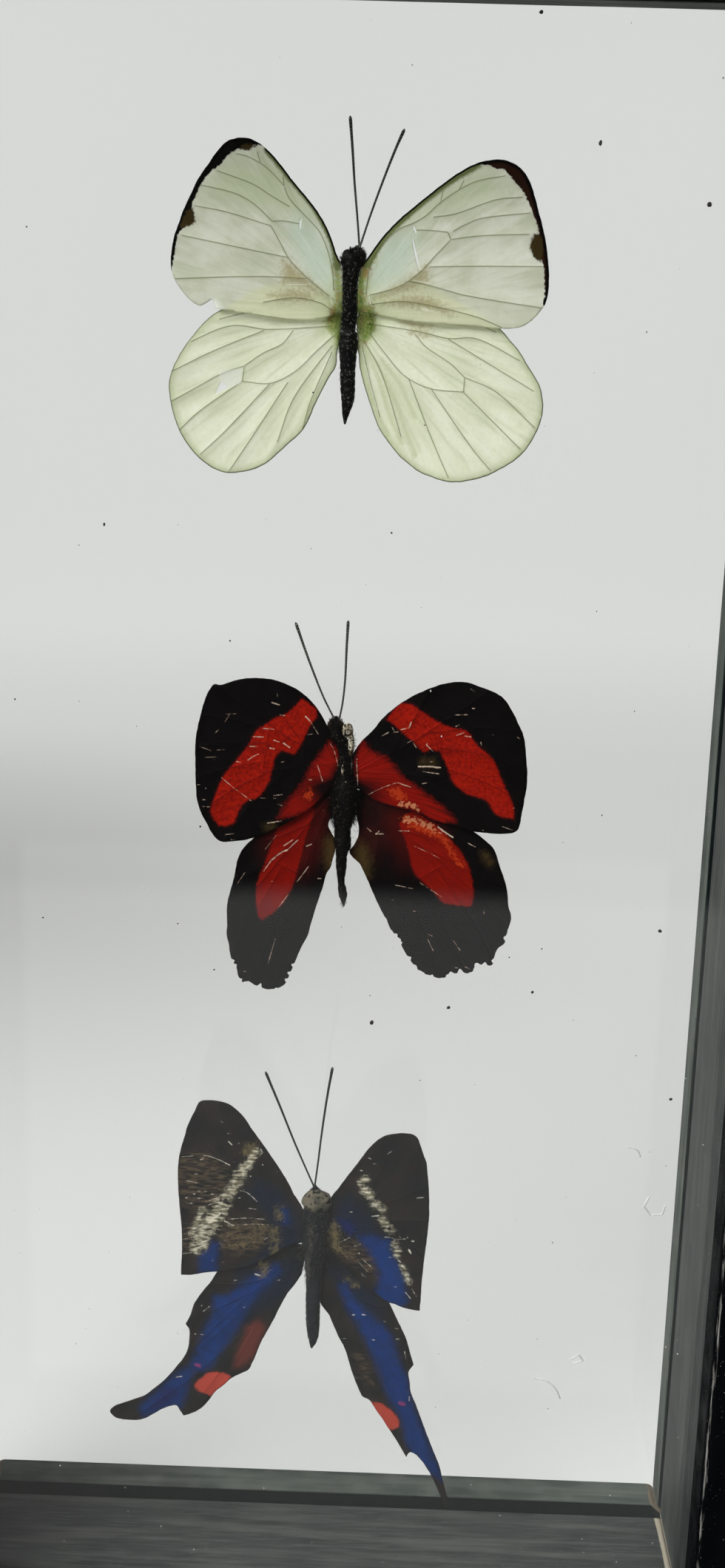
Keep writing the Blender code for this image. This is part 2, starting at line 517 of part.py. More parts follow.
def build_specimen(specimen, collection):
    holder = add_object(f"{specimen.name}_thorax_centre", None, collection)
    holder.location = scaled((specimen.thorax[0], WING_PLANE, specimen.thorax[1]))
    bpy.context.view_layer.update()
    skin = material(f"{specimen.name}_skin", specimen.skin, 0.7)
    scales = material(f"{specimen.name}_wing_scales", specimen.wing_colour, 0.6)
    resin = material(f"{specimen.name}_resin", CLEAR_RESIN, 0.1, alpha=0.5)
    body(specimen, holder, collection, skin)
    for index, side in enumerate(("left", "right")):
        name = f"{specimen.name}_{{}}_{side}"
        fore, hind = specimen.forewings[index], specimen.hindwings[index]
        wing(name.format("forewing"), fore, -WING_STEP, holder, collection, scales)
        wing(name.format("hindwing"), hind, WING_STEP, holder, collection, scales)
        feeler(name.format("antenna"), specimen.feelers[index], holder, collection, skin)
    stand_off(specimen, holder, collection, resin)


def main():
    clear_scene()
    collection = new_collection("framed_butterfly_display_box")
    build_case(collection)
    for specimen in SPECIMENS:
        build_specimen(specimen, collection)


main()
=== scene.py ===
"""Looks of a framed butterfly display box.

Three spread butterflies stand above each other between two panes of glass in a deep case of black
wood. The fixed frame gives the place and outline of every piece, and each class below makes the fine
meshes and finishes of one sub-assembly around it. Tables are in millimetres. Those of a specimen are
(x, z) from its thorax, with x to the right and z up.
"""

from __future__ import annotations

import logging
import math
from dataclasses import dataclass, field
from enum import Enum

import bmesh
import bpy
import numpy as np
from mathutils import Euler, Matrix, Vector, noise
from mathutils.geometry import delaunay_2d_cdt


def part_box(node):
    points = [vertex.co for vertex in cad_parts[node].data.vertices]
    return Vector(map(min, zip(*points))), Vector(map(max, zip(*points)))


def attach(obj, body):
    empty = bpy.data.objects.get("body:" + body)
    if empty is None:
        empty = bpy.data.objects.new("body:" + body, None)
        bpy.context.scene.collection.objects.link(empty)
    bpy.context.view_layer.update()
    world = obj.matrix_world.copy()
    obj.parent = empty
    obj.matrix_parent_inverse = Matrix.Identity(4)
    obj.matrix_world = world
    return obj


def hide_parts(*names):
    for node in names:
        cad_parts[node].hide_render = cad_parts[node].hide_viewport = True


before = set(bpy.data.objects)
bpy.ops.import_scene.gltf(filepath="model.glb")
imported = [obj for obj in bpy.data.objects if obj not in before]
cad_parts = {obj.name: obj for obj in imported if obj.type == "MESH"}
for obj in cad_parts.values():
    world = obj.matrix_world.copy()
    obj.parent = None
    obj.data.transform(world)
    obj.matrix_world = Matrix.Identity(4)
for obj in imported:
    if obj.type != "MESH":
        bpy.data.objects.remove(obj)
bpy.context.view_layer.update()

MM = 0.001
FAR = 9.0  # a distance in millimetres past which no marking reaches
WING_GAP = 15.0  # from the spread wings to the back pane, in millimetres
CLEARANCE = 0.15  # between two fixed nodes that lie against each other

log = logging.getLogger("display_box")

Material = bpy.types.Material
Socket = bpy.types.NodeSocket
Pair = tuple[float, float]
Triple = tuple[float, float, float]
Line = tuple[tuple[float, ...], ...]  # points, or rows of a small table
Colour = tuple[float, float, float, float]  # linear light


class Side(Enum):
    """The four sides of the opening, each with its outward direction along X and Z."""

    LEFT = (-1, 0)
    RIGHT = (1, 0)
    BOTTOM = (0, -1)
    TOP = (0, 1)

    @property
    def word(self) -> str:
        """The side's name as the frame's nodes spell it."""
        return self.name.lower()


class Species(Enum):
    """The three specimens, top to bottom, each with its name in the frame's nodes."""

    WHITE = "white"
    RED = "red"
    BLUE = "blue"


def tone(red: float, green: float, blue: float) -> Colour:
    """A display colour, with red, green and blue from 0 to 255, as linear light with full alpha."""
    parts = (value / 255 for value in (red, green, blue))
    return (*(part / 12.92 if part < 0.04 else ((part + 0.055) / 1.055) ** 2.4 for part in parts), 1.0)


# ---------------------------------------------------------------------------------------------
# Shapes: lines, distances and meshes
# ---------------------------------------------------------------------------------------------


def smooth_line(
    points: Line | np.ndarray, spacing: float, closed: bool = False, corner: float = 0.85
) -> np.ndarray:
    """A smooth line through the points, with straight ends at sharp corners.

    Args:
        points: The points that the line passes through.
        spacing: The largest distance between two points of the result.
        closed: Whether the line runs back to its first point.
        corner: The turn in radians from which a point stays a sharp corner.

    Returns:
        The points of the smooth line, (n, 2) or (n, 3).
    """
    knots = np.asarray(points, float)
    count = len(knots)
    ahead, behind = np.roll(knots, -1, 0), np.roll(knots, 1, 0)
    if not closed:
        ahead[-1], behind[0] = knots[-1], knots[0]
    before, after = knots - behind, ahead - knots
    lengths = np.linalg.norm(before, axis=1) * np.linalg.norm(after, axis=1)
    cosine = (before * after).sum(1) / np.maximum(lengths, 1e-12)
    sharp = np.arccos(np.clip(cosine, -1, 1)) > corner
    tangent = ahead - behind
    tangent /= np.maximum(np.linalg.norm(tangent, axis=1, keepdims=True), 1e-12)
    made = []
    for first in range(count if closed else count - 1):
        last = (first + 1) % count
        chord = knots[last] - knots[first]
        length = np.linalg.norm(chord)
        start = chord if sharp[first] else tangent[first] * length
        end = chord if sharp[last] else tangent[last] * length
        steps = max(1, math.ceil(length / spacing))
        t = (np.arange(steps) / steps)[:, None]
        made.append(
            (2 * t**3 - 3 * t**2 + 1) * knots[first]
            + (t**3 - 2 * t**2 + t) * start
            + (3 * t**2 - 2 * t**3) * knots[last]
            + (t**3 - t**2) * end
        )
    if not closed:
        made.append(knots[-1:])
    return np.concatenate(made)


def line_distance(points: np.ndarray, paths: list[np.ndarray], closed: bool = False) -> np.ndarray:
    """How far each point is from the nearest of the lines.

    Args:
        points: The points to measure, (n, 2).
        paths: The lines, each (m, 2).
        closed: Whether each line runs back to its first point.

    Returns:
        The distances, (n,), at most FAR.
    """
    best = np.full(len(points), FAR)
    for line in paths:
        ends = np.roll(line, -1, 0) if closed else line[1:]
        starts = line if closed else line[:-1]
        along = ends - starts
        away = points[:, None] - starts[None]
        share = (away * along).sum(-1) / np.maximum((along**2).sum(-1), 1e-12)
        gap = away - np.clip(share, 0, 1)[..., None] * along
        best = np.minimum(best, np.sqrt((gap**2).sum(-1).min(1)))
    return best


def inside(points: np.ndarray, loop: np.ndarray) -> np.ndarray:
    """Which points lie inside a closed loop.

    Args:
        points: The points to test, (n, 2).
        loop: The loop, (m, 2).

    Returns:
        One truth value for each point.
    """
    ends = np.roll(loop, -1, 0)
    x, y = points[:, :1], points[:, 1:]
    spans = (loop[:, 1] > y) != (ends[:, 1] > y)
    rise = np.where(ends[:, 1] == loop[:, 1], 1e-12, ends[:, 1] - loop[:, 1])
    crossing = loop[:, 0] + (y - loop[:, 1]) * (ends[:, 0] - loop[:, 0]) / rise
    return ((spans & (x < crossing)).sum(1) % 2).astype(bool)


def depth_inside(points: np.ndarray, loops: list[np.ndarray]) -> np.ndarray:
    """How deep each point lies inside the nearest loop, negative outside.

    Args:
        points: The points to measure, (n, 2).
        loops: The closed loops.

    Returns:
        The signed distances, from -FAR to FAR.
    """
    best = np.full(len(points), -FAR)
    for loop in loops:
        gap = line_distance(points, [loop], closed=True)
        best = np.maximum(best, np.where(inside(points, loop), gap, -gap))
    return best


def wave(points: np.ndarray, size: float, seed: float = 0.0) -> np.ndarray:
    """Smooth noise from -1 to 1 at places in millimetres.

    Args:
        points: The places, (n, 2) or (n, 3).
        size: The distance from one swell to the next.
        seed: An offset that tells one field from another.

    Returns:
        One value for each place.
    """
    padded = np.zeros((len(points), 3))
    padded[:, : points.shape[1]] = points / size
    padded[:, 2] += seed
    return np.array([noise.noise(Vector(place)) for place in padded])


def node_points(node: str) -> np.ndarray:
    """The corners of a fixed node's mesh, in millimetres.

    Args:
        node: The node's name.

    Returns:
        The points, (n, 3).
    """
    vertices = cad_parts[node].data.vertices
    places = np.empty(len(vertices) * 3)
    vertices.foreach_get("co", places)
    return places.reshape(-1, 3) / MM


def front_outline(node: str) -> np.ndarray:
    """The ordered outline of a flat node's front face.

    Args:
        node: The node's name.

    Returns:
        The closed outline in millimetres, (n, 3).
    """
    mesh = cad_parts[node].data
    mesh.calc_loop_triangles()
    corners = np.empty(len(mesh.loop_triangles) * 3, int)
    mesh.loop_triangles.foreach_get("vertices", corners)
    places = node_points(node)
    _, first, index = np.unique(np.round(places, 3), axis=0, return_index=True, return_inverse=True)
    faces = index.reshape(-1)[corners.reshape(-1, 3)]
    spots = places[first]
    normals = np.cross(spots[faces[:, 1]] - spots[faces[:, 0]], spots[faces[:, 2]] - spots[faces[:, 0]])
    facing = faces[normals[:, 1] < -0.5 * np.linalg.norm(normals, axis=1)]
    after: dict[int, int] = {}
    sides = {(a, b) for face in facing for a, b in zip(face, np.roll(face, -1))}
    for a, b in sides:
        if (b, a) not in sides:
            after[a] = b
    ring = [next(iter(after))]
    while after[ring[-1]] != ring[0]:
        ring.append(after[ring[-1]])
    return spots[ring]


def put(name: str, data: bpy.types.ID) -> bpy.types.Object:
    """Puts a mesh, lamp or camera into the scene.

    Args:
        name: The object's name.
        data: What it holds.

    Returns:
        The new object.
    """
    thing = bpy.data.objects.new(name, data)
    bpy.context.scene.collection.objects.link(thing)
    return thing


def add_piece(
    name: str,
    points: np.ndarray,
    faces: list,
    finishes: list[Material],
    slot: str,
    replaces: tuple[str, ...] = (),
    fields: dict[str, np.ndarray] | None = None,
    slots: np.ndarray | None = None,
) -> bpy.types.Object:
    """Makes one piece of the object, which rides on the fixed frame.

    Args:
        name: The piece's name.
        points: Its corners in millimetres, (n, 3).
        faces: Its faces, as rows of corner numbers.
        finishes: Its materials.
        slot: The record's material slot that it stands for; not used.
        replaces: The fixed nodes that it stands for.
        fields: One number at each corner for each name, for its materials to read.
        slots: Which of the materials each face wears.

    Returns:
        The new object.
    """
    mesh = bpy.data.meshes.new(name)
    mesh.from_pydata((np.asarray(points) * MM).tolist(), [], faces)
    if slots is not None:
        mesh.polygons.foreach_set("material_index", slots)
    shape = bmesh.new()
    shape.from_mesh(mesh)
    bmesh.ops.recalc_face_normals(shape, faces=shape.faces)
    shape.to_mesh(mesh)
    shape.free()
    mesh.shade_smooth()
    for title, values in (fields or {}).items():
        attribute = mesh.attributes.new(title, "FLOAT", "POINT")
        attribute.data.foreach_set("value", np.asarray(values, np.float32))
    for finish in finishes:
        mesh.materials.append(finish)
    piece = put(name, mesh)
    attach(piece, "root")
    if replaces:
        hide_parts(*replaces)
    log.info("%s: %d faces", name, len(mesh.polygons))
    return piece


@dataclass
class MeshParts:
    """Points and faces of several closed shapes that become one piece."""

    points: list[np.ndarray] = field(default_factory=list)
    faces: list[list[int]] = field(default_factory=list)
    count: int = 0

    def add(self, points: np.ndarray, faces: list) -> None:
        """Adds one closed shape.

        Args:
            points: Its corners, (n, 3).
            faces: Its faces, counted from its own first corner.
        """
        self.points.append(np.asarray(points, float))
        self.faces.extend([[corner + self.count for corner in face] for face in faces])
        self.count += len(points)

    def place(self) -> np.ndarray:
        """All corners in one array."""
        return np.concatenate(self.points)


def ring_faces(rings: int, sides: int, start_pole: bool = True, end_pole: bool = True) -> list:
    """Faces of a tube of rings, closed by a pole point before the first and after the last ring.

    Args:
        rings: How many rings there are.
        sides: How many points each ring has.
        start_pole: Whether the first pole is there, as the point after the last ring.
        end_pole: Whether the last pole is there, as the point after that.

    Returns:
        The faces.
    """
    faces = []
    for ring in range(rings - 1):
        for side in range(sides):
            a, b = ring * sides + side, ring * sides + (side + 1) % sides
            faces.append([a, b, b + sides, a + sides])
    pole = rings * sides
    if start_pole:
        faces += [[(side + 1) % sides, side, pole] for side in range(sides)]
        pole += 1
    if end_pole:
        last = (rings - 1) * sides
        faces += [[last + side, last + (side + 1) % sides, pole] for side in range(sides)]
    return faces


def tube(path: np.ndarray, radii: np.ndarray, sides: int) -> tuple[np.ndarray, list]:
    """A round tube along a path, closed at both ends.

    Args:
        path: The centre line, (n, 3).
        radii: The radius at each point of the path.
        sides: How many sides the tube has.

    Returns:
        The corners and the faces.
    """
    ahead = np.gradient(path, axis=0)
    ahead /= np.linalg.norm(ahead, axis=1, keepdims=True)
    guide = np.array([0.0, 1.0, 0.0]) if abs(ahead[0][1]) < 0.9 else np.array([1.0, 0.0, 0.0])
    across = np.cross(ahead, guide)
    across /= np.linalg.norm(across, axis=1, keepdims=True)
    upward = np.cross(across, ahead)
    turn = 2 * math.pi * np.arange(sides) / sides
    spread = (
        np.cos(turn)[None, :, None] * across[:, None] + np.sin(turn)[None, :, None] * upward[:, None]
    )
    rings = path[:, None] + spread * np.asarray(radii)[:, None, None]
    poles = np.stack([path[0] - ahead[0] * radii[0] * 0.6, path[-1] + ahead[-1] * radii[-1] * 0.6])
    return np.concatenate([rings.reshape(-1, 3), poles]), ring_faces(len(path), sides)


def ball(centre: tuple[float, ...], radii: tuple[float, ...], sides: int) -> tuple[np.ndarray, list]:
    """An egg shape with its poles along Z.

    Args:
        centre: Its middle.
        radii: Its half sizes along X, Y and Z.
        sides: How many sides it has round Z.

    Returns:
        The corners and the faces.
    """
    rings = sides // 2 - 1
    tilt = math.pi * (np.arange(rings) + 1) / (rings + 1)
    turn = 2 * math.pi * np.arange(sides) / sides
    unit = np.stack(
        [
            np.sin(tilt)[:, None] * np.cos(turn),
            np.sin(tilt)[:, None] * np.sin(turn),
            np.repeat(np.cos(tilt)[:, None], sides, 1),
        ],
        -1,
    ).reshape(-1, 3)
    unit = np.concatenate([unit, [[0, 0, 1], [0, 0, -1]]])
    return unit * radii + centre, ring_faces(rings, sides)


def hairs(
    roots: np.ndarray, ways: np.ndarray, lengths: np.ndarray, radius: float, droop: np.ndarray
) -> tuple[np.ndarray, list]:
    """Fine tapered hairs, each a bent three-sided spike.

    Args:
        roots: Where the hairs stand, (n, 3).
        ways: The unit direction of each hair, (n, 3).
        lengths: The length of each hair.
        radius: The radius at the root.
        droop: The way that the tips bend, (n, 3), as a share of the length.

    Returns:
        The corners and the faces.
    """
    count = len(roots)
    guide = np.where(np.abs(ways[:, 2:]) < 0.9, [[0.0, 0.0, 1.0]], [[1.0, 0.0, 0.0]])
    across = np.cross(ways, guide)
    across /= np.linalg.norm(across, axis=1, keepdims=True)
    upward = np.cross(across, ways)
    reach = lengths[:, None]
    middle = roots + ways * reach * 0.55 + droop * reach * 0.25
    tip = roots + ways * reach + droop * reach
    corners = []
    for centre, size in ((roots, radius), (middle, radius * 0.7)):
        for turn in (0.0, 2.1, 4.2):
            corners.append(centre + size * (math.cos(turn) * across + math.sin(turn) * upward))
    corners.append(tip)
    points = np.stack(corners, 1).reshape(-1, 3)
    own = [[2, 1, 0], [0, 1, 4, 3], [1, 2, 5, 4], [2, 0, 3, 5], [3, 4, 6], [4, 5, 6], [5, 3, 6]]
    faces = [[corner + 7 * hair for corner in face] for hair in range(count) for face in own]
    return points, faces


# ---------------------------------------------------------------------------------------------
# Finishes
# ---------------------------------------------------------------------------------------------


class Shade:
    """One material's node tree, built one socket at a time."""

    def __init__(self, name: str) -> None:
        """Starts an empty tree.

        Args:
            name: The material's name.
        """
        self.material = bpy.data.materials.new(name)
        self.material.use_nodes = True
        self.tree = self.material.node_tree
        self.tree.nodes.clear()
        self.place = self.add("ShaderNodeTexCoord").outputs["Object"]

    def add(self, kind: str, values: dict | None = None, **settings: object) -> bpy.types.Node:
        """Adds a node.

        Args:
            kind: The node's type.
            values: A number, colour or socket for each named or numbered input.
            **settings: The node's own properties.

        Returns:
            The new node.
        """
        node = self.tree.nodes.new(kind)
        for name, value in settings.items():
            setattr(node, name, value)
        for name, value in (values or {}).items():
            if isinstance(value, Socket):
                self.tree.links.new(value, node.inputs[name])
            else:
                node.inputs[name].default_value = value
        return node

    def field(self, name: str) -> Socket:
        """The piece's own number of that name."""
        return self.add("ShaderNodeAttribute", attribute_name=name).outputs["Fac"]

    def maths(self, operation: str, first: object, others: tuple) -> Socket:
        """One number or socket joined to others, from left to right.

        Args:
            operation: How each is joined to what comes before it.
            first: The first number or socket.
            others: The others.

        Returns:
            The result's socket.
        """
        for other in others:
            first = self.add("ShaderNodeMath", {0: first, 1: other}, operation=operation).outputs[0]
        return first

    def plus(self, first: object, *others: object) -> Socket:
        """Numbers or sockets added up."""
        return self.maths("ADD", first, others)

    def times(self, first: object, *others: object) -> Socket:
        """Numbers or sockets multiplied."""
        return self.maths("MULTIPLY", first, others)

    def step(self, value: object, low: float, high: float, top: float = 1.0) -> Socket:
        """A smooth rise from 0 to top as value goes from low to high, or a fall if low is higher.

        Args:
            value: The number's socket, or the name of one of the piece's own numbers.
            low: Where the result is 0.
            high: Where the result is top.
            top: The result past high.

        Returns:
            The result's socket.
        """
        if isinstance(value, str):
            value = self.field(value)
        if low > high:
            value, low, high = self.times(value, -1.0), -low, -high
        values = {"Value": value, "From Min": low, "From Max": high, "To Min": 0.0, "To Max": top}
        return self.add("ShaderNodeMapRange", values, interpolation_type="SMOOTHSTEP").outputs["Result"]

    def noise(self, place: object, scale: float, detail: float) -> Socket:
        """Noise from about 0.25 to 0.75."""
        values = {"Vector": place, "Scale": scale, "Detail": detail}
        return self.add("ShaderNodeTexNoise", values).outputs["Fac"]

    def grain(
        self, size: float, stretch: Triple = (1.0, 1.0, 1.0), detail: float = 3.0, seed: float = 0.0
    ) -> Socket:
        """Noise that is fixed to the object.

        Args:
            size: The size of a lump in millimetres.
            stretch: How many times longer a lump is along X, Y and Z.
            detail: How many finer layers it holds.
            seed: An offset in metres that tells one noise from another.

        Returns:
            The noise's socket.
        """
        scale = tuple(1 / value for value in stretch)
        values = {"Vector": self.place, "Location": (seed, seed, seed), "Scale": scale}
        return self.noise(self.add("ShaderNodeMapping", values).outputs["Vector"], 1 / (size * MM), detail)

    def mix(self, share: object, first: object, second: object) -> Socket:
        """The first colour or socket, turning into the second as share goes from 0 to 1."""
        values = {0: share, 6: first, 7: second}
        return self.add("ShaderNodeMix", values, data_type="RGBA").outputs[2]

    def layers(self, colour: object, *layers: tuple[object, object]) -> Socket:
        """A colour with others laid over it.

        Args:
            colour: The lowest colour.
            *layers: How much of each layer shows, 0 to 1, and its colour, from the lowest up.

        Returns:
            The colour's socket.
        """
        for share, over in layers:
            colour = self.mix(share, colour, over)
        return colour

    def relief(self, height: object, depth: float, below: object = None) -> Socket:
        """A bumpy surface.

        Args:
            height: The relief's socket, 0 to 1.
            depth: Its depth in millimetres.
            below: The normal of a coarser relief under it, if there is one.

        Returns:
            The normal's socket.
        """
        values = {"Strength": 1.0, "Distance": depth * MM, "Height": height}
        if below is not None:
            values["Normal"] = below
        return self.add("ShaderNodeBump", values).outputs["Normal"]

    def skin(self, colour: object, roughness: object, values: dict) -> Socket:
        """A Principled shader with these and other inputs."""
        values = {"Base Color": colour, "Roughness": roughness, **values}
        return self.add("ShaderNodeBsdfPrincipled", values).outputs[0]

    def blend(self, share: object, first: object, second: object) -> Socket:
        """The first shader, turning into the second as share goes from 0 to 1."""
        return self.add("ShaderNodeMixShader", {0: share, 1: first, 2: second}).outputs[0]

    def close(self, surface: Socket) -> Material:
        """Ends the tree with the shader to show, and gives the finished material."""
        self.add("ShaderNodeOutputMaterial", {"Surface": surface})
        return self.material

    def matt(
        self, colour: object, roughness: object, normal: object, gloss: float, through: float = 0.0
    ) -> Material:
        """Ends the tree with a dull skin, which light may come through.

        Args:
            colour: Its colour, which the light takes on.
            roughness: Its roughness.
            normal: The normal of its relief.
            gloss: The strength of its specular reflection.
            through: How much of the light comes through.

        Returns:
            The finished material.
        """
        skin = self.skin(colour, roughness, {"Normal": normal, "Specular IOR Level": gloss})
        if through:
            glow = self.add("ShaderNodeBsdfTranslucent", {"Color": colour}).outputs[0]
            skin = self.blend(through, skin, glow)
        return self.close(skin)


@dataclass(frozen=True)
class PaintedWood:
    """Black satin paint brushed over straight-grained wood, rubbed pale along its rounded edges, which also
    paints their highlight.
    """

    name: str
    paint: Colour
    dust: Colour
    bare: Colour
    dust_share: float = 0.3
    roughness: float = 0.5
    end_wear: float = 0.5  # how far from a mitre the wood shows, in millimetres
    painted_rabbet_shade: Colour = tone(12, 20, 20)  # painted shade for the faces that lie in the rabbet's shadow, where wear is below 0
    speck: Colour = tone(150, 150, 144)
    edge: Colour = tone(152, 150, 144)  # of the paint rubbed thin on the rounded edges, where wear is near 1; it also paints the highlight along them

    def material(self, lengthwise: Triple) -> Material:
        """The finish with its grain along one member.

        Args:
            lengthwise: How many times longer the grain is along X, Y and Z.

        Returns:
            The material.
        """
        shade = Shade(self.name)
        fine = shade.grain(0.35, lengthwise, 4.0)
        broad = shade.grain(2.4, lengthwise, 3.0, seed=0.3)
        film = shade.grain(5.0, detail=6.0, seed=0.7)
        specks = shade.grain(0.28, detail=1.0, seed=1.1)
        wear = shade.plus(shade.field("wear"), shade.times(fine, 0.8), shade.times(film, 0.35))
        chip = shade.plus(shade.field("end"), shade.times(film, 1.2))
        colour = shade.layers(
            self.paint,
            (shade.step(broad, 0.35, 0.7, self.dust_share), self.dust),
            (shade.step(film, 0.4, 0.75, self.dust_share), self.dust),
            (shade.step(specks, 0.74, 0.79), self.speck),
            # worn paint and painted highlight along the rounded edges
            (shade.step(wear, 1.46, 1.72, 0.85), self.edge),
            # painted shade: faces marked below 0 turn dark, as in the rabbet's shadow
            (shade.step("wear", -0.2, -0.7), self.painted_rabbet_shade),
            (shade.step(chip, self.end_wear + 0.75, self.end_wear + 0.6), self.bare),
        )
        rough = shade.plus(shade.step(film, 0.2, 0.8, 0.25), self.roughness)
        return shade.matt(colour, rough, shade.relief(fine, 0.05, shade.relief(broad, 0.12)), 0.025)


@dataclass(frozen=True)
class RawWood:
    """Pale unpainted wood, as a saw cut shows it."""

    name: str = "raw_wood"

    def material(self) -> Material:
        """The material."""
        shade = Shade(self.name)
        pores = shade.grain(0.25, (1.0, 6.0, 1.0), 4.0)
        rings = shade.grain(1.4, (1.0, 8.0, 1.0), 2.0, seed=0.5)
        colour = shade.layers(
            tone(128, 120, 106),
            (shade.step(rings, 0.3, 0.7), tone(98, 88, 74)),
            (shade.step(pores, 0.5, 0.7), tone(64, 56, 46)),
        )
        return shade.matt(colour, 0.8, shade.relief(pores, 0.06), 0.5)


@dataclass(frozen=True)
class LinerPaint:
    """Dusty grey-green paint on the board between the panes, with faint brush lines."""

    name: str
    base: Colour = tone(39, 43, 42)
    pale: Colour = tone(83, 84, 80)
    dark: Colour = tone(20, 22, 25)
    speck: Colour = tone(150, 150, 142)
    bare: Colour = tone(140, 133, 118)

    def material(self, lengthwise: Triple) -> Material:
        """The finish with its brush lines along one member.

        Args:
            lengthwise: How many times longer the lines are along X, Y and Z.

        Returns:
            The material.
        """
        shade = Shade(self.name)
        brushed = shade.grain(0.5, lengthwise, 4.0)
        clouds = shade.grain(9.0, detail=5.0, seed=0.4)
        streaks = shade.grain(2.2, lengthwise, 3.0, seed=1.3)
        specks = shade.grain(0.3, detail=1.0, seed=0.9)
        colour = shade.layers(
            self.base,
            (shade.step(clouds, 0.35, 0.7, 0.7), self.dark),
            (shade.step(streaks, 0.45, 0.7, 0.45), self.pale),
            (shade.step(brushed, 0.45, 0.75, 0.4), self.pale),
            (shade.step(specks, 0.74, 0.79), self.speck),
            (shade.step(shade.plus(shade.field("end"), clouds), 1.6, 1.4), self.bare),
        )
        return shade.matt(colour, 0.6, shade.relief(brushed, 0.05, shade.relief(clouds, 0.15)), 0.2)


@dataclass(frozen=True)
class PaneGlass:
    """Clear float glass that lets lamps shine through."""

    name: str = "pane_glass"
    tint: Colour = (0.978, 0.986, 0.98, 1.0)
    bending: float = 1.33

    def material(self) -> Material:
        """The material."""
        shade = Shade(self.name)
        glass = shade.skin(self.tint, 0.0, {"IOR": self.bending, "Transmission Weight": 1.0})
        clear = shade.add("ShaderNodeBsdfTransparent", {"Color": self.tint}).outputs[0]
        shadow = shade.add("ShaderNodeLightPath").outputs["Is Shadow Ray"]
        return shade.close(shade.blend(shadow, glass, clear))


@dataclass(frozen=True)
class ClearResin:
    """Cast clear resin, faintly clouded."""

    name: str = "clear_resin"
    tint: Colour = (0.94, 0.96, 0.94, 1.0)
    bending: float = 1.5

    def material(self) -> Material:
        """The material."""
        shade = Shade(self.name)
        swirl = shade.relief(shade.grain(0.8, detail=2.0), 0.05)
        values = {"IOR": self.bending, "Transmission Weight": 1.0, "Normal": swirl}
        return shade.close(shade.skin(self.tint, 0.08, values))


@dataclass(frozen=True)
class Coat:
    """Hair, dust or horn: a matt finish that wanders between a few tones."""

    name: str
    base: Colour
    other: Colour
    accent: Colour
    roughness: float = 0.6
    size: float = 0.5
    accent_from: float = 0.62
    gloss: float = 0.08
    through: float = 0.0  # how much light comes through

    def material(self) -> Material:
        """The material."""
        shade = Shade(self.name)
        lumps = shade.grain(self.size, detail=3.0)
        flecks = shade.grain(self.size * 0.35, detail=1.0, seed=0.6)
        colour = shade.layers(
            self.base,
            (shade.step(lumps, 0.35, 0.65), self.other),
            (shade.step(flecks, self.accent_from, self.accent_from + 0.06), self.accent),
        )
        normal = shade.relief(lumps, self.size * 0.15)
        return shade.matt(colour, self.roughness, normal, self.gloss, self.through)


class WingFinish:
    """What the scales of all wings share. Each species adds its own colours.

    The wings carry these numbers: rim, the distance to the outline; vein, to the nearest vein; tick,
    the depth in a scratch; root, the distance to the hinge; turn, the angle round it; shared, how
    deep the other wing lies behind or in front; under, 1 on the lower side; hind, 1 on a hindwing;
    and the depth in each kind of marking.
    """

    through = 0.0  # how much light comes through the wing
    gloss = 0.04
    depth = 0.02  # of the rows of scales, in millimetres
    kinds: tuple[str, ...] = ()  # its markings

    def __init__(self, name: str) -> None:
        """Starts the tree.

        Args:
            name: The material's name.
        """
        self.shade = Shade(name)
        self.soft = self.shade.grain(0.5, detail=4.0)
        self.broad = self.shade.grain(4.0, detail=3.0, seed=0.2)
        self.rows = self.shade.grain(0.22, (1.0, 1.0, 3.0), 1.0, seed=0.5)

    def rays(self, size: float, seed: float = 0.0) -> Socket:
        """Noise drawn out along the lines that run from the hinge.

        Args:
            size: The angle from one streak to the next, in radians.
            seed: An offset that tells one noise from another.

        Returns:
            The noise's socket.
        """
        shade = self.shade
        turn, away = shade.times(shade.field("turn"), 1 / size), shade.times(shade.field("root"), 0.09)
        place = shade.add("ShaderNodeCombineXYZ", {0: turn, 1: away, 2: seed}).outputs[0]
        return shade.noise(place, 1.0, 3.0)

    def frayed(self, name: str, middle: float, fray: float) -> Socket:
        """One of the wing's own numbers, which wanders by fray with the fine noise round its middle."""
        shade = self.shade
        return shade.plus(shade.field(name), shade.times(shade.plus(self.soft, -middle), fray))

    def scratched(self) -> Socket:
        """How much of a scratch shows."""
        return self.shade.step(self.frayed("tick", 0.55, 0.3), -0.07, 0.07, 0.75)

    def mark(self, name: str, blur: float, fray: float, top: float = 1.0) -> Socket:
        """How much of a marking shows, up to top, with half its edge's width and how far it wanders."""
        return self.shade.step(self.frayed(name, 0.5, fray * 2), -blur, blur, top)

    def base(self) -> Socket:
        """The wing's colour all over."""
        raise NotImplementedError

    def roughness(self) -> object:
        """The wing's roughness, as a number or socket."""
        return 0.62

    def material(self) -> Material:
        """The material."""
        shade = self.shade
        ridged = shade.plus(self.rows, shade.step("vein", 0.25, 0.0, 0.8))
        normal = shade.relief(ridged, self.depth)
        return shade.matt(self.base(), self.roughness(), normal, self.gloss, self.through)


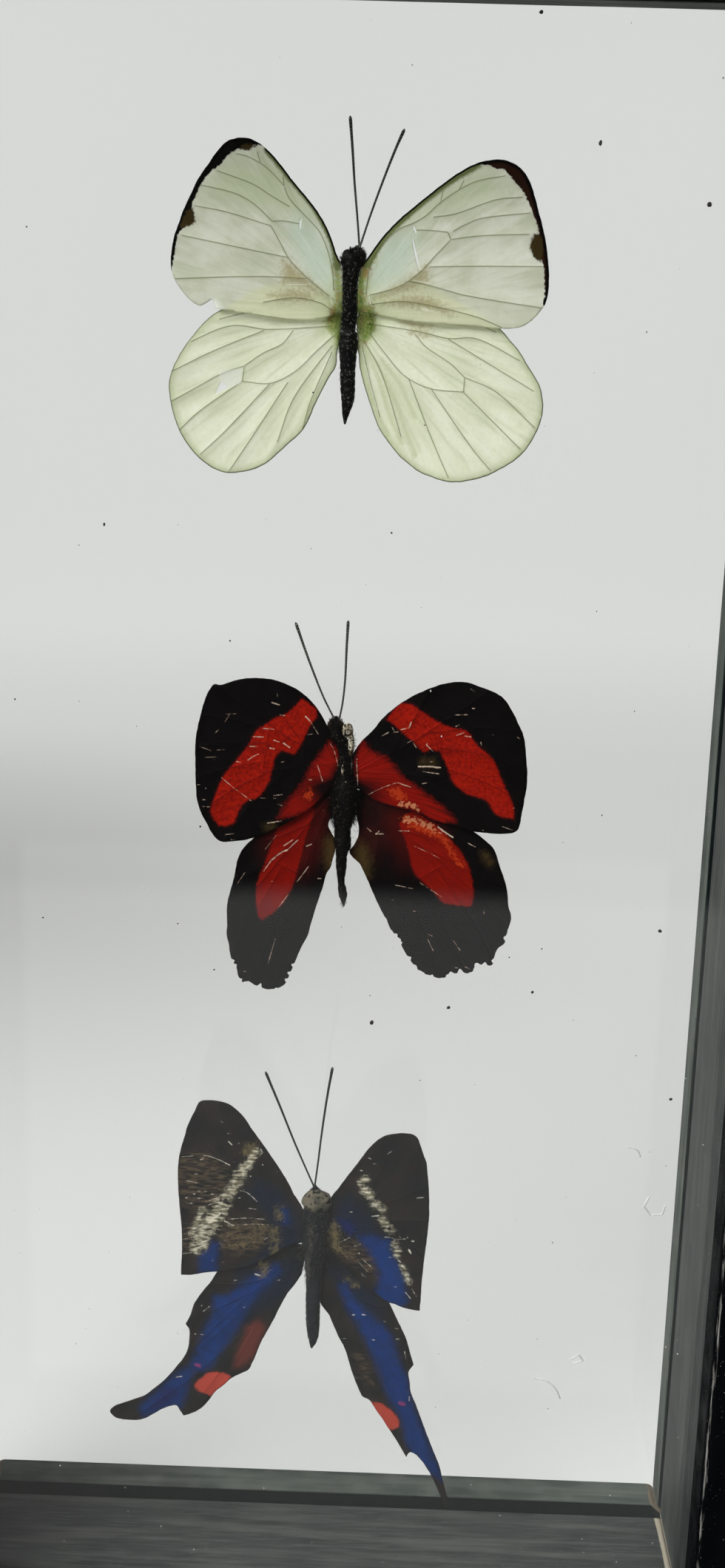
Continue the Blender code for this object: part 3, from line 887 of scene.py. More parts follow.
class WhiteScales(WingFinish):
    """Thin greenish-white scales that the light shines through, with dark tips."""

    through = 0.62
    kinds = ("green", "cell", "tan", "pleat_shade", "front", "moss", "margin", "olive", "pale")

    def base(self) -> Socket:
        """The wing's colour all over."""
        shade, mark = self.shade, self.mark
        hind, front = shade.field("hind"), mark("front", 0.3, 0.2)
        # painted light and shade of the fine and the broad folds that fan out from the hinge
        fine_fold_shading, broad_fold_shading = self.rays(0.035), self.rays(0.22, 4.0)
        fore = shade.mix(shade.step(self.broad, 0.35, 0.7), tone(242, 242, 232), tone(228, 230, 214))
        back = shade.mix(shade.step(broad_fold_shading, 0.35, 0.65), tone(251, 252, 238), tone(242, 244, 225))
        mossy = shade.mix(shade.step(self.soft, 0.42, 0.6), tone(146, 174, 88), tone(198, 202, 136))
        mossy = shade.mix(shade.step(self.broad, 0.5, 0.66), mossy, tone(176, 152, 96))
        where = shade.add("ShaderNodeSeparateXYZ", {0: shade.place}).outputs["X"]
        dark = shade.mix(shade.step(where, -0.002, 0.002), tone(20, 20, 12), tone(58, 32, 20))
        return shade.layers(
            shade.mix(hind, fore, back),
            (mark("green", 2.6, 1.2), tone(224, 230, 206)),
            (mark("cell", 2.6, 2.0), tone(228, 238, 226)),
            (shade.step("shared", -0.3, 0.5, 0.9), tone(241, 242, 220)),
            (shade.step(self.soft, 0.35, 0.7, 0.2), tone(216, 220, 192)),
            # painted shade and painted highlight along the fine folds
            (shade.step(fine_fold_shading, 0.48, 0.72, 0.3), tone(198, 204, 170)),
            (shade.step(fine_fold_shading, 0.44, 0.26, 0.4), tone(254, 254, 248)),
            # painted shade along the pleats of the hindwing
            (mark("pleat_shade", 0.4, 0.3), tone(226, 229, 202)),
            (mark("tan", 1.0, 1.2), tone(206, 199, 164)),
            (shade.step("root", 8.0, 2.0, 0.5), tone(212, 222, 172)),
            (mark("moss", 0.7, 1.2), mossy),
            (shade.times(shade.step("rim", 1.4, 0.1, 0.4), hind), tone(190, 198, 150)),
            (shade.step("vein", 0.13, 0.035, 0.75), tone(150, 154, 112)),
            (front, tone(138, 148, 96)),
            (mark("pale", 0.25, 0.4, 0.6), tone(244, 246, 240)),
            (self.scratched(), tone(252, 252, 246)),
            (shade.times(shade.step("rim", 0.24, 0.08, 0.75), hind), tone(104, 108, 66)),
            (shade.times(shade.step("rim", 0.4, 0.2), front), tone(16, 18, 10)),
            (mark("margin", 0.1, 0.35), shade.mix(shade.step("rim", 0.7, 0.3), dark, tone(12, 9, 6))),
            (mark("olive", 0.2, 0.5), tone(78, 64, 32)),
        )


class RedScales(WingFinish):
    """Velvet-black scales with brick-red bands, browner towards the body."""

    kinds = ("band", "basal", "orange", "cream", "ochre")

    def base(self) -> Socket:
        """The wing's colour all over."""
        shade, mark = self.shade, self.mark
        hind, streak = shade.field("hind"), self.rays(0.03)
        brown = shade.mix(shade.step(self.broad, 0.35, 0.65), tone(24, 5, 4), tone(44, 11, 7))
        near = shade.times(shade.step("root", 20.0, 9.0), shade.step("root", 4.0, 8.0), hind)
        red = shade.layers(
            shade.mix(shade.step(self.soft, 0.35, 0.7), tone(138, 18, 3), tone(108, 8, 1)),
            (shade.times(hind, 0.8), tone(102, 7, 1)),
            (shade.step(streak, 0.48, 0.75, 0.5), tone(78, 5, 1)),
            (shade.step(streak, 0.38, 0.24, 0.3), tone(150, 34, 10)),
            (shade.step("vein", 0.14, 0.03, 0.5), tone(76, 5, 2)),
        )
        low = shade.mix(shade.step(streak, 0.42, 0.72), tone(118, 11, 3), tone(80, 5, 1))
        # painted shadow: the basal patch turns black near the body and below the hinge
        root_shadow_share = shade.times(shade.step("root", 10.0, 4.0), shade.step("turn", 0.15, -0.5))
        basal = shade.times(mark("basal", 0.8, 0.9), shade.step("root", 1.0, 3.0))
        halo = shade.times(shade.step("band", -4.5, 0.0, 0.8), hind, shade.step("root", 23.0, 15.0))
        dull = shade.mix(shade.step(self.broad, 0.4, 0.6), tone(70, 52, 38), tone(96, 76, 54))
        return shade.layers(
            tone(4, 2, 2),
            (near, brown),
            (basal, shade.mix(root_shadow_share, low, tone(12, 1, 1))),
            (halo, tone(56, 4, 2)),
            (mark("band", 0.6, 0.5), tone(66, 5, 2)),
            (mark("band", 0.2, 0.45), red),
            (mark("orange", 0.5, 1.6), tone(146, 42, 12)),
            (mark("ochre", 1.5, 1.4, 0.8), tone(66, 52, 24)),
            (mark("cream", 0.25, 1.8), tone(164, 104, 72)),
            (self.scratched(), tone(196, 172, 152)),
            (shade.times(shade.field("under"), 0.75), dull),
        )


class BlueScales(WingFinish):
    """Brown-black scales, rubbed in places, with satin blue bands and red spots."""

    kinds = ("navy", "rubbed", "blue", "violet", "tan", "pale", "dull", "red", "dot")

    def base(self) -> Socket:
        """The wing's colour all over."""
        shade, mark = self.shade, self.mark
        worn = shade.grain(0.45, (3.5, 1.0, 1.0), 4.0, seed=0.8)
        cloud = shade.grain(1.4, detail=4.0, seed=1.7)
        rubbed = shade.times(mark("rubbed", 1.4, 1.6), shade.step(worn, 0.4, 0.66, 0.7))
        tan = shade.times(mark("tan", 0.8, 1.8), shade.step(cloud, 0.3, 0.6, 0.85))
        pale = shade.times(mark("pale", 0.6, 0.8), shade.step(worn, 0.28, 0.5), shade.step(cloud, 0.3, 0.46))
        bleached = shade.mix(shade.step(worn, 0.45, 0.65), tone(118, 112, 92), tone(190, 184, 164))
        dull = shade.mix(shade.step(self.broad, 0.4, 0.6), tone(58, 52, 44), tone(84, 74, 60))
        return shade.layers(
            tone(15, 17, 17),
            (shade.step(self.broad, 0.35, 0.65), tone(31, 26, 22)),
            (mark("navy", 1.6, 1.0), tone(12, 21, 36)),
            (rubbed, tone(88, 72, 54)),
            (self.blue(), shade.mix(shade.step(cloud, 0.3, 0.7), tone(0, 42, 98), tone(0, 31, 80))),
            (mark("violet", 1.0, 0.8), tone(8, 22, 72)),
            (tan, tone(98, 86, 58)),
            (pale, bleached),
            (mark("dull", 1.0, 0.9), tone(88, 38, 30)),
            (mark("red", 0.3, 0.5), tone(156, 56, 42)),
            (mark("dot", 0.2, 0.3), tone(112, 44, 92)),
            (self.scratched(), tone(206, 202, 188)),
            (shade.times(shade.field("under"), 0.7), dull),
        )

    def blue(self) -> Socket:
        """How much of the blue bands shows."""
        return self.mark("blue", 1.1, 0.8)

    def roughness(self) -> object:
        """Satin on the blue scales, matt elsewhere."""
        return self.shade.plus(self.shade.times(self.blue(), -0.18), 0.6)


@dataclass(frozen=True)
class Backdrop:
    """A pale seamless studio surface, dim where it lies in front of the case."""

    name: str
    levels: Line = (  # how bright it is at each place along Y, in metres
        (-0.505, 0.025), (-0.465, 0.36), (-0.38, 0.36), (-0.29, 0.24), (-0.06, 0.22), (0.02, 0.43),
        (0.15, 0.4), (0.4, 0.36), (0.6, 0.38), (1.2, 0.51),
    )
    cloud: Triple = (-0.2, 0.45, 0.34)  # painted shade, a dimmer patch: its place and radius
    shadow_patch_depth: float = 0.2
    unevenness: float = 0.06
    albedo: Colour = (0.36, 0.36, 0.35, 1.0)
    dim_albedo: Colour = (0.02, 0.02, 0.02, 1.0)
    tint: Colour = (1.0, 1.0, 0.99, 1.0)

    def material(self) -> Material:
        """The material."""
        shade = Shade(self.name)
        where = shade.add("ShaderNodeSeparateXYZ", {0: shade.place}).outputs["Y"]
        (dim_end, level), (pale_start, _) = self.levels[:2]
        for (start, before), (end, after) in zip(self.levels, self.levels[1:]):
            level = shade.plus(level, shade.step(where, start, end, after - before))
        # painted shade: a soft dimmer patch on the backdrop
        x, y, radius = self.cloud
        away = shade.add("ShaderNodeVectorMath", {0: shade.place, 1: (x, y, 0.0)}, operation="DISTANCE")
        level = shade.plus(level, shade.step(away.outputs["Value"], radius, 0.0, -self.shadow_patch_depth))
        swirl = shade.times(shade.noise(shade.place, 1.3, 1.0), self.unevenness)
        vary = shade.plus(swirl, 1 - self.unevenness / 2)
        values = {
            "Specular IOR Level": 0.0,
            "Emission Color": self.tint,
            "Emission Strength": shade.times(level, vary),
        }
        albedo = shade.mix(shade.step(where, dim_end, pale_start), self.dim_albedo, self.albedo)
        return shade.close(shade.skin(albedo, 0.9, values))


# ---------------------------------------------------------------------------------------------
# Wings
# ---------------------------------------------------------------------------------------------


@dataclass(frozen=True)
class Mark:
    """One marking: a patch inside its points or, with a width, a stripe along them."""

    kind: str
    points: Line
    width: float = 0.0

    @property
    def line(self) -> np.ndarray:
        """Its smooth line or outline."""
        return smooth_line(self.points, 0.3, closed=not self.width)

    def depth(self, spots: np.ndarray) -> np.ndarray:
        """How deep each spot lies in the marking, negative outside.

        Args:
            spots: The places to measure, (n, 2).

        Returns:
            The signed distances.
        """
        if self.width:
            return self.width / 2 - line_distance(spots, [self.line])
        return depth_inside(spots, [self.line])


def lines(width: float, *paths: Line) -> tuple[Mark, ...]:
    """Scratches of one width."""
    return tuple(Mark("tick", path, width) for path in paths)


def slit(start: Pair, end: Pair, width: float = 0.3) -> Line:
    """The outline of a thin tear with pointed ends.

    Args:
        start: One end.
        end: The other end.
        width: Its width in the middle.

    Returns:
        The outline.
    """
    first, last = np.array(start), np.array(end)
    way = last - first
    across = np.array([way[1], -way[0]]) / np.linalg.norm(way) * width / 2
    there = (first, first + way * 0.3 + across, first + way * 0.75 + across * 0.8)
    back = (last, first + way * 0.7 - across, first + way * 0.25 - across * 0.7)
    return tuple(map(tuple, there + back))


@dataclass(frozen=True)
class WingPlan:
    """The veins, markings, scratches and tears of one wing."""

    veins: tuple[Line, ...]
    marks: tuple[Mark, ...] = ()
    scratches: tuple[Mark, ...] = ()
    tears: tuple[Line, ...] = ()
    pull: Line = ()  # (z, millimetres) by which its inner edge comes closer to the body
    lift: Line = ()  # (x, millimetres) by which its upper edge rises
    ragged: Pair = (0.0, 0.0)  # the z below which its edge is torn, and how deep
    strays: int = 0  # how many more scratches lie anywhere on it
    slant: float = 0.0  # the usual direction of those, in radians


def fan(root: tuple, top: tuple, bottom: tuple, tips: Line) -> tuple[Line, ...]:
    """Veins that run from a wing's root round a long cell and out to the edge.

    Args:
        root: Where they start.
        top: The cell's far corner towards the front edge.
        bottom: Its far corner towards the inner edge.
        tips: Where the veins end on the edge, front to back.

    Returns:
        The lines.
    """
    front, back, bend = 0.45, 0.4, 0.12  # where the cell's sides let veins go, and how far a vein bows
    hub, high, low = (np.array(place, float) for place in (root, top, bottom))
    path = np.array([hub + (high - hub) * front, high, (high + low) / 2, low, hub + (low - hub) * back])
    reach = np.concatenate([[0], np.cumsum(np.linalg.norm(np.diff(path, axis=0), axis=1))])
    made = [(hub, path[0], high), (hub, path[-1], low), (high, low)]
    for index, tip in enumerate(np.array(tips, float)):
        share = index / (len(tips) - 1) * reach[-1]
        start = np.array([np.interp(share, reach, path[:, axis]) for axis in (0, 1)])
        bow = (start - hub) * bend
        made.append((start, (start + tip) / 2 + bow, tip))
    return tuple(tuple(map(tuple, line)) for line in made)


@dataclass
class Wing:
    """One spread wing: a thin sheet with raised veins, a soft swell and a slightly frayed edge."""

    node: str
    centre: Pair
    plan: WingPlan
    finish: Material
    kinds: tuple[str, ...]
    seed: int
    grid: float = 0.34  # the distance between two points of the mesh
    row_share: float = 0.866  # the distance between two of its rows, in grids
    clear_share: float = 0.4  # how far its loose points keep off a line, in grids
    rim: float = 0.12  # how far its inner points keep off the edge
    level: float = 0.6  # how near in height two points of the edge are to face each other
    skin: float = 0.09  # the membrane's thickness
    ridge: float = 0.06  # how far a vein stands out of it on either side
    vein_reach: float = 0.14  # half a vein's width
    tick_reach: float = 0.1  # half the width of the mesh's rows along a scratch
    sag: float = 0.12  # how far the membrane lies back between its veins
    sag_reach: float = 2.0
    swell: float = 0.16
    swell_size: float = 9.0
    ripple: float = 0.05
    ripple_size: float = 3.2
    curl: float = 0.2  # how far its edge bends out of it
    curl_size: float = 4.0
    curl_reach: float = 3.5
    thin_edge: float = 0.35  # the edge's share of the thickness
    edge_reach: float = 0.4
    pull_reach: float = 1.6  # how far into the wing a pull or a lift is felt
    fray: float = 0.05
    stray: float = 0.5  # half the longest scattered scratch

    def __post_init__(self) -> None:
        """Reads the outline and the tilt of the wing from the frame."""
        loop = front_outline(self.node)
        self.lean, self.rest = np.polyfit(loop[:, 0], loop[:, 1], 1)
        fine = smooth_line(loop[:, [0, 2]] - self.centre, self.grid, closed=True)
        side = math.copysign(1, fine[:, 0].mean())
        for table, moved, along, way in ((self.plan.pull, 0, 1, side), (self.plan.lift, 1, 0, -1)):
            if table:
                places, steps = np.array(table).T
                level = np.abs(fine[:, None, along] - fine[None, :, along]) < self.level
                inner = np.where(level, way * fine[None, :, moved], math.inf).min(1)
                weight = np.exp(-(((way * fine[:, moved] - inner) / self.pull_reach) ** 2))
                fine[:, moved] -= way * weight * np.interp(fine[:, along], places, steps, 0, 0)
        ahead = np.roll(fine, -1, 0) - np.roll(fine, 1, 0)
        across = np.stack([ahead[:, 1], -ahead[:, 0]], -1) / np.linalg.norm(ahead, axis=1)[:, None]
        rough = self.fray * (wave(fine, 0.9, self.seed) + 0.6 * wave(fine, 0.35, self.seed + 0.5))
        area = (fine[:, 0] * np.roll(fine[:, 1], -1) - fine[:, 1] * np.roll(fine[:, 0], -1)).sum()
        below, torn = self.plan.ragged
        torn *= np.clip((below - fine[:, 1]) / 2, 0, 1) * np.clip(wave(fine, 0.7, self.seed + 2.0), 0, 1)
        self.loop = fine + across * (rough - math.copysign(1, area) * torn)[:, None]
        self.veins = [smooth_line(line, 0.3) for line in self.plan.veins]
        self.scratches = self.plan.scratches + self.strays()
        self.ticks = [scratch.line for scratch in self.scratches]
        self.holes = [smooth_line(line, 0.25, closed=True, corner=0.5) for line in self.plan.tears]

    def strays(self) -> tuple[Mark, ...]:
        """The wing's scattered short scratches."""
        draw = np.random.default_rng(self.seed)
        low, high = self.loop.min(0), self.loop.max(0)
        made = []
        for _ in range(self.plan.strays):
            middle = low + (high - low) * draw.random(2)
            turn = self.plan.slant + draw.normal(0, 0.5)
            half = self.stray * draw.uniform(0.1, 1.0) * np.array([math.cos(turn), math.sin(turn)])
            made.append(Mark("tick", (tuple(middle - half), tuple(middle + half)), draw.uniform(0.03, 0.1)))
        return tuple(made)

    def triangles(self) -> tuple[np.ndarray, np.ndarray]:
        """The wing's flat mesh, with its points gathered along veins and scratches.

        Returns:
            The points, (n, 2), and the triangles, (m, 3).
        """
        low, high = self.loop.min(0), self.loop.max(0)
        columns = np.arange(low[0], high[0], self.grid)
        rows = np.arange(low[1], high[1], self.grid * self.row_share)
        x, z = np.meshgrid(columns, rows)
        x[1::2] += self.grid / 2
        spots = np.stack([x.ravel(), z.ravel()], -1)
        clear = self.grid * self.clear_share
        spots = spots[line_distance(spots, self.veins) > self.vein_reach + clear]
        spots = spots[line_distance(spots, self.ticks) > clear]
        along = [spots]
        for paths, reach in ((self.veins, self.vein_reach), (self.ticks, self.tick_reach)):
            for line in paths:
                ahead = np.gradient(line, axis=0)
                across = np.stack([ahead[:, 1], -ahead[:, 0]], -1)
                across *= reach / np.linalg.norm(ahead, axis=1, keepdims=True)
                along += [line, line + across, line - across]
        spots = np.concatenate(along)
        spots = spots[depth_inside(spots, [self.loop]) > self.rim]
        loops = [self.loop, *self.holes]
        edges, start = [], len(spots)
        for ring in loops:
            count = len(ring)
            edges += [(start + i, start + (i + 1) % count) for i in range(count)]
            start += count
        spots = np.concatenate([spots, *loops])
        made = delaunay_2d_cdt([Vector(spot) for spot in spots], edges, [], 0, 1e-4)
        places = np.array([tuple(spot) for spot in made[0]])
        faces = np.array(made[2])
        middles = places[faces].mean(1)
        kept = inside(middles, self.loop)
        for hole in self.holes:
            kept &= ~inside(middles, hole)
        used, faces = np.unique(faces[kept], return_inverse=True)
        return places[used], faces.reshape(-1, 3)

    def build(self, partner: Wing) -> bpy.types.Object:
        """Makes the wing.

        Args:
            partner: The other wing of its side.

        Returns:
            The new piece.
        """
        spots, faces = self.triangles()
        rim = line_distance(spots, [self.loop], closed=True)
        edge = line_distance(spots, [self.loop, *self.holes], closed=True)
        vein = line_distance(spots, self.veins)
        x, z = (spots + self.centre).T
        world = np.stack([x, z], -1)
        between = np.clip(vein / self.sag_reach, 0, 1)
        near = np.clip(1 - rim / self.curl_reach, 0, 1)
        rise = self.rest + self.lean * x
        rise += self.swell * wave(world, self.swell_size, 3.0)
        rise += self.ripple * wave(world, self.ripple_size, 5.0)
        rise += self.sag * between**2 * (3 - 2 * between)
        rise += self.curl * wave(world, self.curl_size, self.seed + 7.0) * near**2
        thin = self.thin_edge + (1 - self.thin_edge) * np.clip(edge / self.edge_reach, 0, 1)
        half = thin * (self.skin / 2 + self.ridge * np.exp(-((vein / self.vein_reach) ** 2)))
        points = np.concatenate([np.stack([x, rise + side * half, z], -1) for side in (-1, 1)])
        count = len(spots)
        sides = {(a, b) for face in faces.tolist() for a, b in zip(face, face[1:] + face[:1])}
        walls = [[a, b, b + count, a + count] for a, b in sorted(sides) if (b, a) not in sides]
        outside = np.full(count, -FAR)
        fields = {
            "rim": rim,
            "vein": vein,
            "tick": np.max([outside, *(mark.depth(spots) for mark in self.scratches)], axis=0),
            "root": np.linalg.norm(spots, axis=1),
            "turn": np.arctan2(spots[:, 1], np.abs(spots[:, 0])),
            "shared": depth_inside(spots, [partner.loop]),
            "hind": np.full(count, float("hindwing" in self.node)),
        }
        for kind in self.kinds:
            depths = [mark.depth(spots) for mark in self.plan.marks if mark.kind == kind]
            fields[kind] = np.max([outside, *depths], axis=0)
        fields = {title: np.tile(values, 2) for title, values in fields.items()}
        fields["under"] = np.repeat([0.0, 1.0], count)
        skins = faces.tolist() + (faces[:, ::-1] + count).tolist() + walls
        slot = f"{self.node.split('_')[0]}_wing"
        return add_piece(f"{self.node}_scales", points, skins, [self.finish], slot, (self.node,), fields)


WHITE_FORE_LEFT = WingPlan(
    veins=(
        ((-2.9, 3.5), (-3.3, 7), (-4.2, 10), (-5.5, 12.5), (-8, 15), (-10.2, 17.2), (-11, 19),
            (-11.2, 20.5)),
        ((-11, 19), (-13, 21), (-14.8, 22.3), (-17, 23.3), (-18.5, 23.6)),
        ((-14.8, 22.3), (-15.3, 24)),
        ((-10.2, 16), (-13, 17.5), (-16, 19.2), (-21.5, 21)),
        ((-12.8, 13.7), (-11, 13.8), (-8.3, 13.4)),
        ((-12.8, 13.7), (-16, 16.4), (-19, 17.8), (-24, 18.8)),
        ((-13, 13), (-20, 14.9), (-25, 15.7)),
        ((-2.8, 2), (-5.5, 4), (-8, 6), (-10, 8), (-11.5, 10.5), (-13, 13)),
        ((-10.2, 8.3), (-15, 9.1), (-27, 11.2)),
        ((-7.3, 5.2), (-15, 5.3), (-28, 4.6)),
        ((-3, 0.3), (-5, 1.5), (-9, 2.2), (-14, 1.4)),
        ((-4, -1), (-8, -1.3), (-15, -0.6), (-21.5, -0.1)),
    ),
    marks=(
        Mark("margin", ((-13.3, 24.5), (-15.5, 25), (-16.8, 24.2), (-18.2, 24.3), (-20, 23.2), (-21.2, 21.8),
            (-22.8, 20.6), (-24.3, 18.3), (-25.3, 16), (-25.4, 13.2), (-26.6, 12.4), (-27.6, 11.2),
            (-28.2, 8), (-28.6, 5.8), (-32, 5), (-32, 28), (-13, 28))),
        Mark("olive", ((-25.2, 15.4), (-24.9, 13.2), (-26, 12.5), (-27.2, 12.4), (-26.4, 15))),
        Mark("olive", ((-15, 25), (-16.8, 24.2), (-18.2, 24.3), (-17, 25.2))),
        Mark("front", ((-2.4, 7), (-3.2, 10.6), (-6, 15.7), (-10, 20.2), (-13.7, 24.3)), 1.1),
        Mark("cell", ((-3, 2.6), (-3.2, 7), (-5, 11), (-8.4, 14.6), (-10.4, 13), (-8.6, 8.6), (-5.6, 4.6))),
        Mark("moss", ((-1.9, 0.6), (-2.2, 4), (-2.6, 7.4)), 0.9),
        Mark("moss", ((-2, 1.6), (-3.2, 1.4), (-3.6, 0), (-2, -1))),
        Mark("green", ((-5, 14), (-10, 20), (-14, 23.6), (-20, 21.6), (-23, 17), (-15, 15.4), (-9, 14.6))),
        Mark("tan", ((-11, 8), (-9, 6.6), (-3.4, 2), (-6, 3.3), (-9, 4.4), (-10.9, 4.4))),
        Mark("tan", ((-7, 3.1), (-10, 3.2), (-13.4, 2.4), (-10, 1.9), (-6, 1.9))),
        Mark("pale", ((-22.2, 2), (-21.2, 1.6), (-19.6, -0.3), (-21.8, -0.3))),
    ),
    scratches=(
        *lines(0.16, ((-8.4, 0.9), (-9.6, 0.8)), ((-3, 1.2), (-3.4, 2.6)), ((-7.2, 4.3), (-10.4, 4.2))),
        *lines(0.7, ((-21.9, 1.3), (-21.3, 0.3), (-20.6, -0.1))),
    ),
    tears=(slit((-8.3, 14.4), (-8.5, 12.5), 0.24),),
    pull=((-0.6, 0.5), (0.2, 0.8), (6.5, 0.8), (7.7, 0.5), (9.2, 0)),
)
WHITE_FORE_RIGHT = WingPlan(
    veins=(
        ((2.2, 3), (2.8, 8), (4.5, 10.8), (7, 13), (9.3, 14), (11.3, 15.2), (13.2, 17), (16, 19), (19, 20.5),
            (23.3, 21.4)),
        ((13.4, 17), (13.8, 19)),
        ((16.3, 19.2), (17, 20.6)),
        ((12.5, 15), (16, 15.6), (22, 17.8), (26.2, 18.3)),
        ((15.7, 13), (17.5, 14), (20, 15), (27.5, 16)),
        ((9.8, 13), (12, 13), (14.8, 12.8), (15.3, 11.8)),
        ((15.3, 11.7), (20, 12.4), (27.5, 12.8)),
        ((2.6, 2.9), (6, 3.8), (8.5, 5), (11, 7), (13, 9.2), (15.3, 11.7)),
        ((12.3, 7.5), (20, 7.8), (29.8, 8)),
        ((9, 5.2), (12, 4.7), (18, 3.3), (30, 1.7)),
        ((3, 1.5), (8, 2.1), (13, 1.5), (20, 0), (24, -1.5)),
    ),
    marks=(
        Mark("margin", ((18, 22.7), (20.6, 23), (22, 22.4), (23.1, 22.4), (24.5, 21), (26.4, 19), (27.9, 16),
            (29, 13.2), (28.6, 12), (28.4, 10.8), (29.2, 9.6), (30, 8.2), (30.4, 4), (30.2, 2.3), (33, 1),
            (33, 26), (18, 26))),
        Mark("olive", ((29, 13.2), (28.1, 12.4), (27.8, 11), (28.4, 9.4), (29.6, 8.6), (29.8, 11))),
        Mark("front", ((2.2, 7.5), (5, 12), (9.4, 16.2), (14.4, 20.2), (19, 23)), 1.2),
        Mark("cell", ((2.8, 4), (3.4, 8.5), (6.4, 11.6), (9.8, 12.6), (9.8, 9.6), (7.6, 6.6), (4.6, 4.4))),
        Mark("moss", ((1.4, 0.6), (1.3, 4.5), (2.6, 8.4)), 1.5),
        Mark("moss", ((1.4, 1.6), (3.2, 1.6), (3.8, 0), (1.6, -1.2))),
        Mark("green", ((8, 14.6), (14, 19), (19.6, 22), (24.6, 19.6), (22, 18), (14, 15.6))),
        Mark("tan", ((11.6, 7.6), (9, 5.4), (3.4, 2.4), (6.4, 3.2), (10, 4.4), (12, 5.2))),
        Mark("tan", ((5, 1.8), (9, 2.8), (13, 2.4), (16, 0.4), (11, 1.2))),
    ),
    scratches=(
        *lines(0.16, ((2.6, 3), (3.1, 1.2)), ((11, 1), (13, 0.7)), ((9.6, 5.4), (12.4, 5))),
        *lines(0.5, ((11.4, 1.1), (12, 0.9))),
    ),
    tears=(slit((9.2, 12.1), (10.5, 6.9)), slit((9.3, 13.7), (9.9, 12.5))),
    pull=((-0.6, 0.6), (0.4, 1.0), (6, 1.0), (7.5, 0.6), (8.3, 0.3), (9.2, 0)),
)
WHITE_HIND_LEFT = WingPlan(
    veins=(
        ((-3, -2), (-13.5, -2.8), (-18, -2.3), (-21, -2.9), (-25.5, -5)),
        ((-14, -3), (-22, -6.4), (-28.7, -9.8)),
        ((-9.4, -3), (-11, -5), (-14, -6.5), (-17, -8.6)),
        ((-17, -8.6), (-20, -9.6), (-24, -11.8), (-28.7, -14.5)),
        ((-17, -8.6), (-17.3, -11)),
        ((-17.3, -11), (-24, -15.8), (-27.3, -18.9)),
        ((-2.8, -3.5), (-5.5, -6), (-8.8, -9.2), (-12.8, -11.2), (-17.3, -11)),
        ((-13, -11.4), (-20, -19), (-24, -22.8)),
        ((-10, -11), (-15, -18.8), (-19.3, -25.4)),
        ((-3, -5), (-9, -13.5), (-11.5, -20.5)),
        ((-3, -6), (-6.3, -14), (-7.5, -18.5)),
        ((-3, -0.6), (-8, 1.2), (-14, 0.4), (-21, -1.4)),
    ),
    marks=(
        Mark("pale", ((-20.9, -9.4), (-17.4, -8.8), (-17.5, -11), (-19.2, -12), (-20.7, -11))),
        Mark("moss", ((-1.6, 0.4), (-3.8, -0.2), (-4, -2), (-2.8, -3.6), (-1.8, -6))),
    ),
    scratches=lines(0.22, ((-20.9, -9.5), (-20.8, -10.9), (-19.2, -12)), ((-21.8, -13.4), (-22.3, -13.7)),
        ((-19.1, -11.9), (-17.7, -11.2))),
    pull=((-6, 0), (-4.5, 0.5), (-0.6, 0.7), (0.5, 0.7)),
    tears=(((-20.7, -11.1), (-19.4, -12), (-21.7, -13.2)),),
)
WHITE_HIND_RIGHT = WingPlan(
    veins=(
        ((3, -1.5), (11, -2.5), (15.5, -3.4), (20, -3.3), (27, -6.5)),
        ((15.7, -3.6), (21.5, -6.8), (29.5, -11.2)),
        ((10.3, -3), (12, -4.8), (16, -7.3), (18.4, -9.4)),
        ((18.4, -9.4), (23.5, -11.5), (30, -17)),
        ((18.4, -9.4), (18.3, -11.7)),
        ((18.3, -11.7), (24.5, -17.4), (27.8, -20.4)),
        ((3, -3), (6, -6.6), (9, -9.6), (13, -11.3), (18.3, -11.7)),
        ((13.2, -11.5), (20, -20.5), (23.2, -24)),
        ((9.5, -10), (13, -18.2), (16.4, -25.4)),
        ((2, -4), (5, -9), (8.5, -19)),
        ((1.8, -5), (3.4, -11), (5, -16)),
        ((3, -0.4), (9, 1.6), (16, 0.6), (23, -2.2)),
    ),
    marks=(
        Mark("tan", ((8, -1), (12.5, -1.6), (12.5, -2), (8.5, -1.5))),
        Mark("tan", ((9.5, -2.3), (12.5, -2.8), (12.3, -3.1), (9.4, -2.6))),
        # painted shade of the folds
        Mark("pleat_shade", ((2.1, -4.6), (2.9, -10), (4.4, -15), (6.4, -18.8)), 0.5),
        Mark("pleat_shade", ((2.7, -5.6), (4.8, -10.4), (6.4, -15.4), (8.6, -20)), 0.6),
        Mark("pleat_shade", ((3.4, -6.6), (7, -12.6), (9.6, -19), (11, -22)), 0.7),
        Mark("pleat_shade", ((5, -7), (8.4, -11.4), (10.6, -16)), 0.5),
        Mark("moss", ((1, 0.4), (3.4, -0.2), (4, -2), (2.8, -4), (1.4, -5))),
    ),
    scratches=lines(0.14, ((1.9, -6), (3.6, -12), (4.6, -15)), ((6, 1.2), (9, 0.8)),
        ((3.3, -6.4), (5.6, -11))),
    pull=((-6.5, 0), (-5, 0.5), (-3, 1.0), (-0.6, 1.1), (0.5, 1.0)),
)

